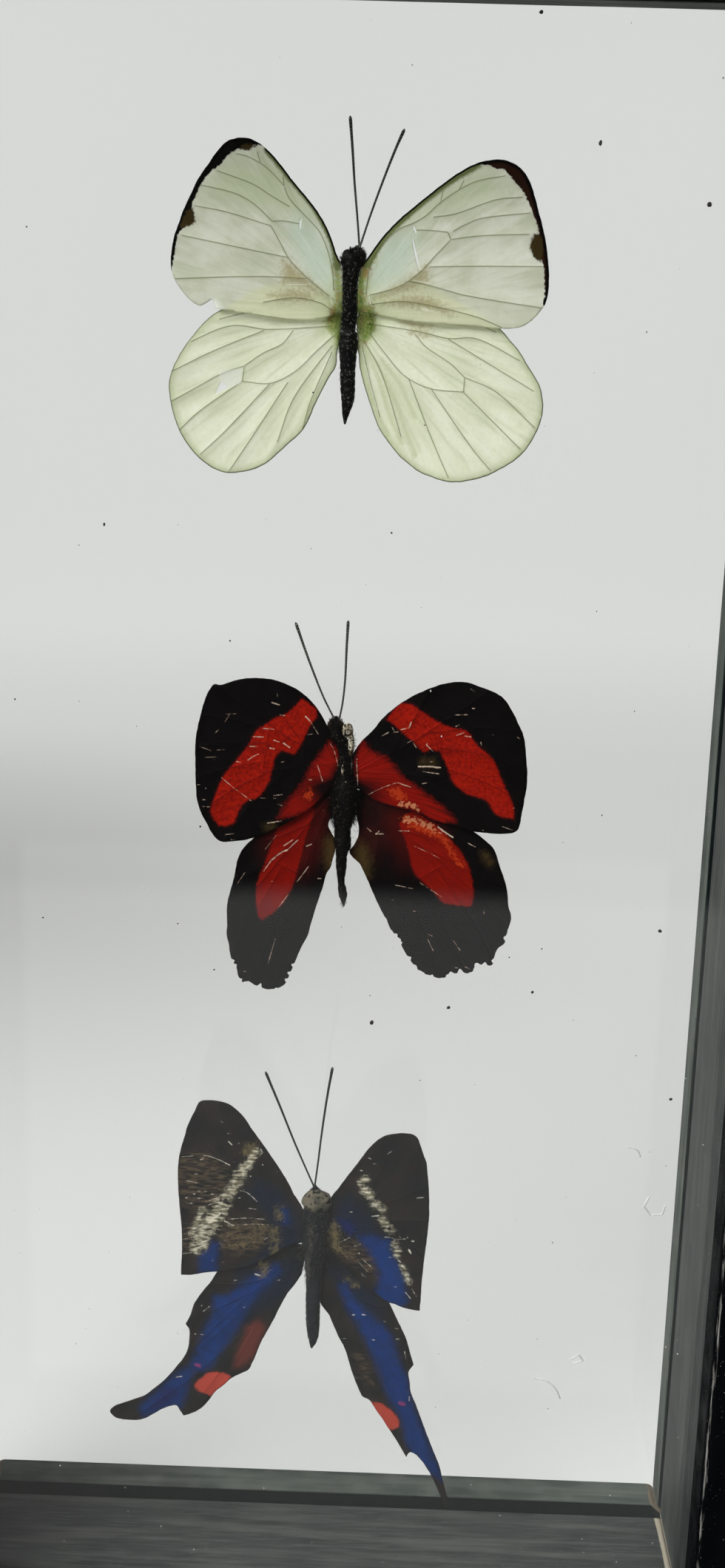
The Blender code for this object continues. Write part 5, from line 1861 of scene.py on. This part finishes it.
@dataclass(frozen=True)
class Horn:
    """Dark horn with paler rings, as on a feeler."""

    name: str = "ringed_horn"
    dark: Colour = tone(8, 9, 8)
    other: Colour = tone(22, 24, 20)
    pale: Colour = tone(112, 112, 102)
    rings: float = 0.8  # how strongly the pale rings show

    def material(self) -> Material:
        """The material."""
        shade = Shade(self.name)
        lumps = shade.grain(0.25, detail=3.0)
        colour = shade.layers(
            self.dark,
            (shade.step(lumps, 0.3, 0.7), self.other),
            (shade.step("ring", 0.55, 0.8, self.rings), self.pale),
        )
        rough = shade.plus(shade.step(lumps, 0.2, 0.8, 0.3), 0.3)
        return shade.matt(colour, rough, shade.relief(lumps, 0.02), 0.2)


@dataclass
class Feeler:
    """One antenna: a fine ringed shaft that widens into its club."""

    species: Species
    side: str
    finish: Material
    ring: float = 0.5  # from one ring to the next
    club: float = 0.12
    base: float = 1.5  # how far it reaches on into the head
    step: float = 0.1
    sides: int = 8
    corners: int = 6  # round the fixed node's shaft

    def build(self) -> bpy.types.Object:
        """Makes the antenna along the middle of its fixed node."""
        node = f"{self.species.value}_antenna_{self.side}"
        places = np.unique(np.round(node_points(node), 3), axis=0)
        rings = places[np.argsort(places[:, 2])].reshape(-1, self.corners, 3)
        knots = rings.mean(1)
        reach = np.linalg.norm(rings - knots[:, None], axis=2).mean(1)
        line = smooth_line(knots, self.step)
        away = np.concatenate([[0], np.cumsum(np.linalg.norm(np.diff(line, axis=0), axis=1))])
        left = away[-1] - away
        radius = np.interp(line[:, 2], knots[:, 2], reach)
        club = 1 + self.club * np.exp(-(((left - 0.9) / 0.8) ** 2))
        beat = 0.5 + 0.5 * np.cos(2 * math.pi * away / self.ring)
        taper = np.clip(0.35 + left / 0.5, 0, 1)
        line[0] += (line[0] - line[1]) * self.base / self.step
        points, faces = tube(line, radius * club * taper * (0.9 + 0.1 * beat), self.sides)
        fields = {"ring": np.concatenate([np.repeat(beat, self.sides), beat[[0, -1]]])}
        return add_piece(f"{node}_shaft", points, faces, [self.finish], "insect_horn", (node,), fields)


@dataclass
class StandOff:
    """The clear post between a thorax and the back pane, with a fillet of glue at both ends."""

    species: Species
    finish: Material
    sides: int = 40
    flare: float = 0.75  # how far the glue spreads past the post
    fillet: float = 0.9  # how far it climbs along the post
    reach: float = 0.25  # how far it bridges the node's clearance

    def build(self) -> bpy.types.Object:
        """Makes the post along Y, in place of its fixed node."""
        node = f"{self.species.value}_stand_off"
        low, high = (np.array(corner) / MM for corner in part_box(node))
        middle, radius = (low + high) / 2, (high[0] - low[0]) / 2
        start, end = low[1] - self.reach, high[1] + self.reach
        climb = np.linspace(0, 1, 9)
        flare = self.flare * (1 - climb) ** 2.5
        front = np.stack([radius * 0.8 + flare * 0.6, start + self.fillet * climb], -1)
        back = np.stack([radius * 0.92 + flare, end - self.fillet * climb], -1)[::-1]
        profile = np.concatenate([front, [[radius * 0.88, middle[1]]], back])
        turn = 2 * math.pi * np.arange(self.sides) / self.sides
        rings = [
            np.stack([out * np.cos(turn), np.full_like(turn, y), out * np.sin(turn)], -1)
            for out, y in profile
        ]
        points = np.concatenate([*rings, [[0, start, 0], [0, end, 0]]]) + (middle[0], 0, middle[2])
        faces = ring_faces(len(profile), self.sides)
        return add_piece(f"{node}_post", points, faces, [self.finish], "clear_resin", (node,))


@dataclass
class Specimen:
    """One mounted butterfly, built from its body, wings, feelers and post."""

    species: Species
    centre: Pair  # the thorax along X and Z
    stations: Line
    neck: float
    waist: float
    coats: Coats
    tufts: tuple[Tuft, ...]
    wings: dict[str, WingPlan]
    scales: type[WingFinish]
    rings: float
    collars: Line = ()

    def build(self, wing_plane: float) -> None:
        """Makes every piece of the specimen.

        Args:
            wing_plane: Where the spread wings lie along Y.
        """
        name, seed = self.species.value, 10 * list(Species).index(self.species) + 1
        place = (self.centre[0], wing_plane, self.centre[1])
        body = Body(
            self.species, place, self.stations, self.neck, self.waist, self.coats, self.tufts,
            self.collars, seed,
        )
        body.build_form()
        body.build_hair()
        body.build_tufts()
        finish = self.scales(f"{name}_scales").material()
        made = {
            title: Wing(f"{name}_{title}", self.centre, plan, finish, self.scales.kinds, seed + index)
            for index, (title, plan) in enumerate(self.wings.items())
        }
        for title, wing in made.items():
            pair, side = title.split("_")
            wing.build(made[f"{'hindwing' if pair == 'forewing' else 'forewing'}_{side}"])
        horn = Horn(f"{name}_horn", rings=self.rings).material()
        for side in (Side.LEFT, Side.RIGHT):
            Feeler(self.species, side.word, horn).build()
        StandOff(self.species, ClearResin(f"{name}_resin").material()).build()


WHITE = Specimen(
    species=Species.WHITE,
    centre=(0.1, 245.9),
    stations=(
        (0.75, 10.4, 0.3), (0.7, 9.9, 0.85), (0.4, 9.2, 1.45), (0.05, 8.5, 1.95), (-0.1, 7.8, 2.0),
        (-0.25, 7.0, 1.6), (-0.4, 5.8, 1.3), (-0.4, 4.0, 1.22), (-0.35, 1.5, 1.22), (-0.4, -0.5, 1.22),
        (-0.45, -2.2, 1.12), (-0.45, -3.2, 1.45), (-0.45, -4.4, 1.58), (-0.4, -7.0, 1.35),
        (-0.4, -9.5, 1.25), (-0.3, -12.0, 1.2), (-0.3, -13.8, 1.0), (-0.55, -15.6, 0.6),
        (-0.65, -17.3, 0.15),
    ),
    neck=7.2,
    waist=-2.6,
    coats=Coats(
        skin=Coat("white_skin", tone(4, 4, 4), tone(12, 12, 11), tone(64, 64, 58), 0.55, 1.2, 0.6),
        hair=Coat("white_hair", tone(6, 7, 6), tone(15, 15, 12), tone(104, 104, 92), 0.7, 1.2, 0.6),
        tuft=Coat("white_tufts", tone(158, 178, 96), tone(108, 138, 58), tone(200, 160, 98), 0.7, 0.8,
                  through=0.5),
        eye=Coat("white_eyes", tone(12, 11, 10), tone(20, 18, 15), tone(34, 31, 26), 0.3, 0.2),
    ),
    tufts=(
        Tuft((-1.8, -0.3, 0.6), (0.4, 0.4, 3.0), (-0.4, -0.4, -0.8), 1.2, 120),
        Tuft((1.2, -0.3, 1.8), (0.5, 0.4, 4.2), (0.5, -0.4, -0.8), 1.4, 170),
        Tuft((-2.6, -0.4, -0.2), (0.7, 0.3, 1.6), (-0.7, -0.4, -0.4), 0.9, 70),
        Tuft((2.6, -0.4, -0.4), (0.8, 0.3, 2.2), (0.6, -0.4, -0.5), 1.1, 110),
        Tuft((-1.9, -0.3, -3.6), (0.3, 0.3, 2.0), (-0.3, -0.3, -0.8), 0.9, 60),
    ),
    wings={
        "forewing_left": WHITE_FORE_LEFT,
        "forewing_right": WHITE_FORE_RIGHT,
        "hindwing_left": WHITE_HIND_LEFT,
        "hindwing_right": WHITE_HIND_RIGHT,
    },
    scales=WhiteScales,
    rings=0.55,
)
RED = Specimen(
    species=Species.RED,
    centre=(0.6, 169.9),
    stations=(
        (-1.3, 10.2, 0.3), (-1.4, 9.7, 0.9), (-1.4, 8.8, 1.3), (-1.2, 7.6, 1.3), (-0.5, 6.2, 1.2),
        (0.1, 5.0, 1.2), (0.3, 3.4, 1.25), (0.25, 1.6, 1.3), (0.3, 0.0, 1.6), (0.4, -2.0, 2.2),
        (0.45, -4.0, 2.6), (0.4, -6.0, 2.4), (0.25, -8.0, 1.8), (0.2, -9.6, 1.45), (0.25, -11.4, 1.5),
        (0.3, -12.6, 1.4), (0.15, -13.8, 1.05), (0.15, -16.5, 0.9), (0.2, -18.9, 0.6),
        (0.4, -20.3, 0.72), (0.6, -21.5, 0.7), (0.7, -22.6, 0.35), (0.8, -23.4, 0.1),
    ),
    neck=7.4,
    waist=-8.2,
    coats=Coats(
        skin=Coat("red_skin", tone(3, 2, 2), tone(9, 7, 6), tone(50, 44, 38), 0.55, 1.0, 0.64),
        hair=Coat("red_hair", tone(5, 3, 3), tone(12, 8, 6), tone(124, 112, 94), 0.7, 1.0, 0.66),
        tuft=Coat("red_tufts", tone(4, 3, 3), tone(12, 8, 6), tone(40, 34, 28), 0.7, 0.8, 0.66),
        eye=Coat("red_eyes", tone(18, 12, 9), tone(30, 20, 14), tone(56, 42, 30), 0.3, 0.2),
        collar=Coat("red_collar", tone(176, 168, 150), tone(74, 58, 38), tone(20, 15, 12), 0.7, 1.1, 0.52),
    ),
    tufts=(
        Tuft((-1.5, -0.6, 8.2), (0.9, 0.4, 1.6), (-0.1, -0.5, 0.6), 0.9, 200),
        Tuft((1.6, -0.6, 5.0), (0.3, 0.4, 2.4), (0.4, -0.4, 0.1), 0.6, 120),
        Tuft((-1.2, -0.4, -4.6), (0.6, 0.5, 3.6), (-0.6, -0.3, -0.5), 1.3, 420),
        Tuft((2.1, -0.4, -4.4), (0.6, 0.5, 3.6), (0.6, -0.3, -0.5), 1.3, 420),
        Tuft((0.5, 0.0, -21.4), (0.5, 0.4, 1.6), (0.2, 0.1, -1.0), 0.8, 110),
    ),
    collars=(
        (0.65, -0.9, 8.1, 0.95, 0.7, 1.3), (1.3, -0.8, 5.7, 0.5, 0.6, 2.1),
        (0.0, -1.25, 1.2, 0.22, 0.25, 0.9), (0.55, -1.4, -0.9, 0.3, 0.25, 0.4),
    ),
    wings={
        "forewing_left": RED_FORE_LEFT,
        "forewing_right": RED_FORE_RIGHT,
        "hindwing_left": RED_HIND_LEFT,
        "hindwing_right": RED_HIND_RIGHT,
    },
    scales=RedScales,
    rings=0.8,
)
BLUE = Specimen(
    species=Species.BLUE,
    centre=(-2.8, 82.7),
    stations=(
        (0.15, 10.7, 0.3), (0.3, 10.2, 0.5), (0.5, 9.4, 1.0), (0.7, 8.5, 1.6), (0.75, 7.3, 2.3),
        (0.7, 5.8, 2.5), (0.5, 4.0, 2.5), (0.45, 1.5, 2.4), (0.4, -1.0, 2.2), (0.4, -3.5, 1.9),
        (0.4, -6.0, 1.6), (0.45, -8.0, 1.42), (0.45, -11.0, 1.4), (0.45, -14.0, 1.36),
        (0.5, -17.0, 1.27), (0.6, -19.4, 1.08), (0.6, -20.8, 0.78), (0.45, -21.8, 0.45),
        (0.35, -22.4, 0.15),
    ),
    neck=7.2,
    waist=-5.6,
    coats=Coats(
        skin=Coat("blue_skin", tone(18, 23, 27), tone(28, 31, 34), tone(60, 60, 60), 0.55, 1.0, 0.64),
        hair=Coat("blue_hair", tone(21, 25, 29), tone(33, 34, 36), tone(84, 82, 78), 0.7, 1.2, 0.64),
        tuft=Coat("blue_tufts", tone(82, 78, 76), tone(52, 51, 52), tone(124, 114, 94), 0.7, 1.4),
        eye=Coat("blue_eyes", tone(20, 20, 20), tone(32, 32, 30), tone(56, 56, 54), 0.3, 0.2),
        collar=Coat("blue_collar", tone(92, 86, 72), tone(56, 54, 46), tone(16, 16, 15), 0.7, 2.2, 0.58),
    ),
    tufts=(
        Tuft((0.7, -1.8, 8.2), (2.6, 0.6, 1.6), (0.0, -0.7, 0.6), 0.4, 160),
        Tuft((-0.1, -2.3, 2.2), (0.9, 0.1, 5.2), (0.0, -0.3, -0.9), 0.8, 240),
        Tuft((-0.5, -1.9, -4.6), (0.6, 0.2, 3.2), (-0.2, -0.4, -0.8), 0.9, 210),
        Tuft((-2.2, 0, -1.0), (0.7, 0.5, 4.0), (-0.5, -0.4, -0.6), 0.9, 40),
        Tuft((2.4, 0, -1.0), (0.7, 0.5, 4.0), (0.5, -0.4, -0.6), 0.9, 40),
    ),
    collars=((0.75, -0.9, 7.9, 2.7, 2.0, 2.1), (1.5, -2.6, 8.2, 0.75, 0.5, 0.7)),
    wings={
        "forewing_left": BLUE_FORE_LEFT,
        "forewing_right": BLUE_FORE_RIGHT,
        "hindwing_left": BLUE_HIND_LEFT,
        "hindwing_right": BLUE_HIND_RIGHT,
    },
    scales=BlueScales,
    rings=0.2,
)


# ---------------------------------------------------------------------------------------------
# The case
# ---------------------------------------------------------------------------------------------


@dataclass(frozen=True)
class CaseSizes:
    """The faces of the case in millimetres, from the frame."""

    half_width: float  # of the opening
    half_height: float
    middle: float  # of the opening, above the floor
    rail: float
    rabbet: float
    front: float
    lip_back: float
    liner_front: float
    liner_back: float
    strip_front: float

    @classmethod
    def from_frame(cls) -> CaseSizes:
        """Reads the sizes from the nodes' boxes."""
        left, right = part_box("rail_left"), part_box("rail_right")
        pane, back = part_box("front_pane"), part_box("back_pane")
        bottom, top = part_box("rail_bottom"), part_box("rail_top")
        half_width = (right[0].x - left[1].x) / MM / 2
        return cls(
            half_width=half_width,
            half_height=(top[0].z - bottom[1].z) / MM / 2,
            middle=(top[1].z + bottom[0].z) / MM / 2,
            rail=(left[1].x - left[0].x) / MM,
            rabbet=pane[1].x / MM - half_width + 2 * CLEARANCE,
            front=left[0].y / MM,
            lip_back=pane[0].y / MM - CLEARANCE,
            liner_front=pane[1].y / MM + CLEARANCE,
            liner_back=back[0].y / MM - CLEARANCE,
            strip_front=back[1].y / MM + CLEARANCE,
        )


def arc(centre: Pair, radius: float, first: float, last: float) -> list[tuple]:
    """Points of a rounded edge of a section, marked as worn, where the paint turns pale as wear and as a
    painted highlight.

    Args:
        centre: The arc's middle, outwards and back.
        radius: Its radius.
        first: The angle it starts at, in degrees.
        last: The angle it ends at.

    Returns:
        (outwards, back, wear) for each point.
    """
    steps = 7
    points = []
    for index in range(steps + 1):
        turn = math.radians(first + (last - first) * index / steps)
        worn = math.sin(math.pi * index / steps)
        points.append((centre[0] + radius * math.cos(turn), centre[1] + radius * math.sin(turn), worn))
    return points


@dataclass
class Member:
    """One straight length of wood along a side of the opening, mitred at both ends."""

    node: str
    side: Side
    sizes: CaseSizes
    section: list[Triple]  # (outwards, back, wear), from 1, worn bare and painted pale as a highlight, to -1, painted shade
    finishes: list[Material]
    slot: str
    seed: int
    step: float = 1.5  # the distance between two points across the grain
    spacing: float = 2.2  # the distance between two rings of points along it
    near: tuple[float, ...] = (0.0, 0.15, 0.5, 1.0, 1.8, 3.0, 4.0)  # where the rings lie at an end
    gap: float = 0.05  # from each end to the mitre's plane
    grain: float = 0.035  # the depth of the wood's relief
    groove: float = 0.14  # how far the edges of the ends are broken
    groove_reach: float = 0.3
    sharp: float = 35.0  # the angle in degrees from which an edge stays sharp

    def fine_section(self) -> np.ndarray:
        """The section with its long sides divided."""
        made = []
        for (o, y, wear), after in zip(self.section, self.section[1:] + self.section[:1]):
            steps = max(1, math.ceil(math.hypot(after[0] - o, after[1] - y) / self.step))
            for index in range(steps):
                share = index / steps
                whole = steps == 1 or wear < 0
                bare = wear * (1 - share) + after[2] * share if whole else wear * (index == 0)
                made.append((o + (after[0] - o) * share, y + (after[1] - y) * share, bare))
        return np.array(made)

    def rows(self, half: float) -> np.ndarray:
        """Where the rings of points lie along the member.

        Args:
            half: Half the member's length.

        Returns:
            The places, from -1 to 1.
        """
        near, last = np.array(self.near[:-1]) / half, self.near[-1]
        count = math.ceil((half - last) / self.spacing)
        inner = np.linspace(-(1 - last / half), 1 - last / half, 2 * count)
        return np.concatenate([-1 + near, inner, 1 - near[::-1]])

    def build(self) -> bpy.types.Object:
        """Makes the member."""
        sizes, (out_x, out_z) = self.sizes, self.side.value
        half = sizes.half_height if out_x else sizes.half_width
        section = self.fine_section()
        rows = self.rows(half)
        flat = section[:, :2]
        ahead = np.roll(flat, -1, 0) - np.roll(flat, 1, 0)
        normal = np.stack([ahead[:, 1], -ahead[:, 0]], -1)
        normal /= np.maximum(np.linalg.norm(normal, axis=1, keepdims=True), 1e-9)
        area = (flat[:, 0] * np.roll(flat[:, 1], -1) - flat[:, 1] * np.roll(flat[:, 0], -1)).sum()
        normal *= math.copysign(1, area)
        points, wear, end = [], [], []
        for share in rows:
            reach = half + flat[:, 0] - self.gap
            s, left = share * reach, (1 - abs(share)) * reach
            relief = self.grain * (
                wave(np.stack([flat[:, 0], flat[:, 1], s / 30], -1), 1.6, self.seed)
                + 0.5 * wave(np.stack([flat[:, 0], flat[:, 1], s / 12], -1), 0.7, self.seed + 0.5)
            )
            relief -= self.grain + self.groove * np.clip(1 - left / self.groove_reach, 0, 1)
            o, y = (flat + normal * relief[:, None]).T
            x = out_x * (sizes.half_width + o) - out_z * s
            z = sizes.middle + out_z * (sizes.half_height + o) + out_x * s
            points.append(np.stack([x, y, z], -1))
            wear.append(section[:, 2])
            end.append(left)
        count = len(flat)
        faces = ring_faces(len(rows), count, False, False)
        last = (len(rows) - 1) * count
        faces += [list(range(count))[::-1], [last + corner for corner in range(count)]]
        slots = np.zeros(len(faces), int)
        slots[-2:] = len(self.finishes) - 1
        points, fields = np.concatenate(points), {"wear": np.concatenate(wear), "end": np.concatenate(end)}
        name = f"{self.node}_wood"
        piece = add_piece(name, points, faces, self.finishes, self.slot, (self.node,), fields, slots)
        piece.data.set_sharp_from_angle(angle=math.radians(self.sharp))
        return piece


@dataclass
class Case:
    """The mitred case: rails with a lip, inner walls, back strips and the dressed panes."""

    sizes: CaseSizes
    lip_arris: float = 1.6
    outer_arris: float = 1.2
    strip_arris: float = 0.5
    lip_stand: float = 0.65  # how far the lip stands into the opening
    strip_stands: tuple[float, ...] = (0.2, 0.2, 0.95, 0.0)  # the same of each strip, in Side's order
    seam: float = 0.04  # between a member and what it touches
    lengthwise: float = 14.0  # how much longer than wide the grain is

    def rail_section(self) -> list:
        """A rail cut across: an L with a lip in front of the panes."""
        s, lip, out, inner = self.sizes, self.lip_arris, self.outer_arris, -self.lip_stand
        edge, back = s.rail - out, -s.front
        return [
            *arc((inner + lip, s.front + lip), lip, 180, 270),
            *arc((edge, s.front + out), out, 270, 360),
            *arc((edge, back - out), out, 0, 90),
            (s.rabbet, back, 0.6),
            (s.rabbet, s.lip_back - self.seam, 0),
            (inner, s.lip_back - self.seam, 0),
        ]

    def liner_section(self) -> list:
        """The inner wall between the panes, with its edges just broken."""
        s, edge = self.sizes, 0.25
        front, back, out = s.liner_front + self.seam, s.liner_back - self.seam, s.rabbet - self.seam
        return [
            (edge, front, 0.4), (out, front, 0), (out, back, 0), (edge, back, 0.4),
            (0.0, back - edge, 0.4), (0.0, front + edge, 0.4),
        ]

    def strip_section(self, stand: float) -> list:
        """A strip behind the back pane, with a rounded edge towards the opening.

        Args:
            stand: How far it stands into the opening.

        Returns:
            Its section, whose front face gets painted shade.
        """
        s, arris, edge, inner = self.sizes, self.strip_arris, 0.25, -stand
        front, out = s.strip_front + self.seam, s.rabbet - self.seam
        return [
            # the front face lies in the rabbet and gets painted shade
            (inner + edge, front, -1), (out, front, -1), (out, -s.front, 0),
            *arc((inner + arris, -s.front - arris), arris, 90, 180),
            (inner, front + edge, 0.3),
        ]

    def build(self) -> None:
        """Makes the twelve members and dresses the two panes."""
        paint = PaintedWood("black_paint", tone(2, 3, 5), tone(11, 13, 16), tone(110, 100, 86))
        back = PaintedWood("strip_paint", tone(56, 62, 58), tone(92, 95, 90), tone(104, 94, 80), 0.7)
        liner = LinerPaint("liner_paint")
        raw = RawWood().material()
        for side in Side:
            long = (1.0, 1.0, self.lengthwise) if side.value[0] else (self.lengthwise, 1.0, 1.0)
            seed = list(Side).index(side)
            kinds = (
                ("rail", self.rail_section(), paint, "black_paint"),
                ("liner", self.liner_section(), liner, "liner_grey"),
                ("back_strip", self.strip_section(self.strip_stands[seed]), back, "black_paint"),
            )
            for kind, section, finish, slot in kinds:
                finishes = [finish.material(long), raw]
                node = f"{kind}_{side.word}"
                Member(node, side, self.sizes, section, finishes, slot, seed).build()
        glass = PaneGlass().material()
        for node in ("front_pane", "back_pane"):
            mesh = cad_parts[node].data
            mesh.materials.clear()
            mesh.materials.append(glass)
            log.info("%s: dressed", node)


@dataclass
class PaneDust:
    """Specks and lint that cling to the outside of the front pane."""

    sizes: CaseSizes
    margin: float = 2.0  # from the sides of the opening
    grains: int = 60
    specks: int = 170
    dark: Line = (  # (x, z, half width)
        (36.4, 271.2, 0.42), (26.8, 288.8, 0.3), (53.0, 263.0, 0.4), (-37.0, 213.2, 0.3),
        (6.9, 132.0, 0.5), (53.5, 149.7, 0.35), (57.4, 120.1, 0.3), (19.6, 135.1, 0.3),
        (33.3, 138.3, 0.3), (-21.8, 164.9, 0.2),
    )
    lint: tuple[Line, ...] = (
        ((55.0, 102.0), (54.2, 100.2), (55.4, 98.6), (57.4, 98.8), (57.8, 100.4)),
        ((37.4, 66.4), (39.4, 66.0), (41.0, 64.6), (42.0, 62.6)),
        ((43.4, 70.4), (44.8, 71.4), (45.6, 70.2), (44.0, 69.6)),
        ((50.8, 111.2), (52.4, 110.6), (53.0, 109.4)),
    )

    def speck(self, x: float, z: float, size: float, draw: np.random.Generator) -> tuple:
        """One flat uneven grain on the glass.

        Args:
            x: Its place along X.
            z: Its height.
            size: Half its width.
            draw: The source of its uneven outline.

        Returns:
            The corners and the faces.
        """
        points, faces = ball((0, 0, 0), (size, 0.05, size), 8)
        points = points * draw.uniform(0.7, 1.15, (len(points), 1))
        points[:, 0] *= draw.uniform(0.6, 1.2)
        return points + (x, self.sizes.lip_back + 0.12, z), faces

    def build(self) -> None:
        """Makes the dark grains, dust painted in shade as it looks against the light behind, and the pale
        dust, as two pieces.
        """
        draw, s = np.random.default_rng(5), self.sizes
        low, high = s.middle - s.half_height + self.margin, s.middle + s.half_height - self.margin
        side = s.half_width - self.margin
        dark, pale = MeshParts(), MeshParts()
        # painted shade: these grains are dust shown dark, as against the bright light behind the case
        for x, z, size in self.dark:
            dark.add(*self.speck(x, z, size, draw))
        for _ in range(self.grains):
            place = (draw.uniform(-side, side), draw.uniform(low, high))
            dark.add(*self.speck(*place, draw.uniform(0.06, 0.16), draw))
        for line in self.lint:
            path = smooth_line([(x, s.lip_back + 0.1, z) for x, z in line], 0.15)
            pale.add(*tube(path, 0.13 + 0.08 * np.abs(wave(path, 0.5, 2.0)), 6))
        for _ in range(self.specks):
            z = low + (high - low) * draw.random() ** 1.9
            size = draw.uniform(0.05, 0.11) * (1.6 if draw.random() < 0.1 else 1)
            pale.add(*self.speck(draw.uniform(-side, side), z, size, draw))
        shaded_dust = Coat("dust_in_painted_shade", tone(40, 40, 38), tone(66, 64, 60), tone(96, 92, 84), 0.9, 0.2)
        fluff = Coat("pale_dust", tone(232, 234, 230), tone(214, 216, 210), tone(246, 246, 242), 0.9, 0.3)
        for name, parts, finish in (("pane_dust_in_shade", dark, shaded_dust), ("pane_lint", pale, fluff)):
            add_piece(name, parts.place(), parts.faces, [finish.material()], "pane_glass")


# ---------------------------------------------------------------------------------------------
# The studio
# ---------------------------------------------------------------------------------------------


@dataclass
class Studio:
    """A pale seamless bowl with an open top, one soft lamp and the camera, in metres."""

    floor: float = 1.6  # the radii of the floor and the wall
    wall: float = 2.1
    height: float = 2.4
    sides: int = 64
    sink: float = 0.0002  # how far the floor lies below the case
    sky: float = 0.4
    lamp_place: Triple = (-0.8, -0.9, 1.35)
    lamp_aim: Triple = (0.0, 0.0, 0.16)
    lamp_size: float = 1.1
    lamp_power: float = 30.0
    camera_place: Triple = (0.00844, -0.29932, 0.24675)
    camera_turn: Triple = (75.326, -1.599, 1.271)  # in degrees
    lens: float = 41.69  # in millimetres, as is the sensor
    sensor: float = 36.0

    def build_bowl(self) -> None:
        """Makes the floor and the wall as one turned sheet."""
        curve = self.wall - self.floor
        rings = [(radius, 0.0) for radius in (0.1, 0.25, 0.45, 0.7, 1.0, 1.3)]
        for turn in np.linspace(0, math.pi / 2, 12):
            rings.append((self.floor + curve * math.sin(turn), curve * (1 - math.cos(turn))))
        rings += [(self.wall, height) for height in np.linspace(curve, self.height, 6)[1:]]
        turns = 2 * math.pi * np.arange(self.sides) / self.sides
        points = [
            (radius * math.cos(turn), radius * math.sin(turn), height - self.sink)
            for radius, height in rings
            for turn in turns
        ]
        points.append((0.0, 0.0, -self.sink))
        mesh = bpy.data.meshes.new("studio_bowl")
        mesh.from_pydata(points, [], ring_faces(len(rings), self.sides, True, False))
        mesh.shade_smooth()
        mesh.materials.append(Backdrop("backdrop").material())
        put("studio_bowl", mesh)

    def build_lights(self) -> None:
        """Sets the even sky and the soft lamp above the front left."""
        world = bpy.data.worlds.new("studio_sky")
        world.use_nodes = True
        sky = world.node_tree.nodes["Background"]
        sky.inputs["Color"].default_value = (1.0, 1.0, 1.0, 1.0)
        sky.inputs["Strength"].default_value = self.sky
        bpy.context.scene.world = world
        lamp = bpy.data.lights.new("softbox", "AREA")
        lamp.shape, lamp.size, lamp.energy = "DISK", self.lamp_size, self.lamp_power
        softbox = put("softbox", lamp)
        softbox.location = self.lamp_place
        aim = Vector(self.lamp_aim) - softbox.location
        softbox.rotation_euler = aim.to_track_quat("-Z", "Y").to_euler()

    def build_camera(self) -> None:
        """Sets the camera close in front of the case and a little above its middle."""
        view = bpy.data.cameras.new("camera")
        view.lens, view.sensor_width, view.clip_start = self.lens, self.sensor, 0.01
        camera = put("camera", view)
        camera.location = self.camera_place
        camera.rotation_euler = Euler([math.radians(turn) for turn in self.camera_turn])
        bpy.context.scene.camera = camera
        bpy.context.scene.view_settings.view_transform = "Standard"

    def build(self) -> None:
        """Makes the whole studio."""
        self.build_camera()
        self.build_bowl()
        self.build_lights()


def main() -> None:
    """Builds the studio, the case and the three specimens."""
    logging.basicConfig(level=logging.INFO, format="%(message)s")
    Studio().build()
    sizes = CaseSizes.from_frame()
    Case(sizes).build()
    PaneDust(sizes).build()
    wing_plane = sizes.liner_back - WING_GAP
    for specimen in (WHITE, RED, BLUE):
        specimen.build(wing_plane)


if __name__ == "__main__":
    main()
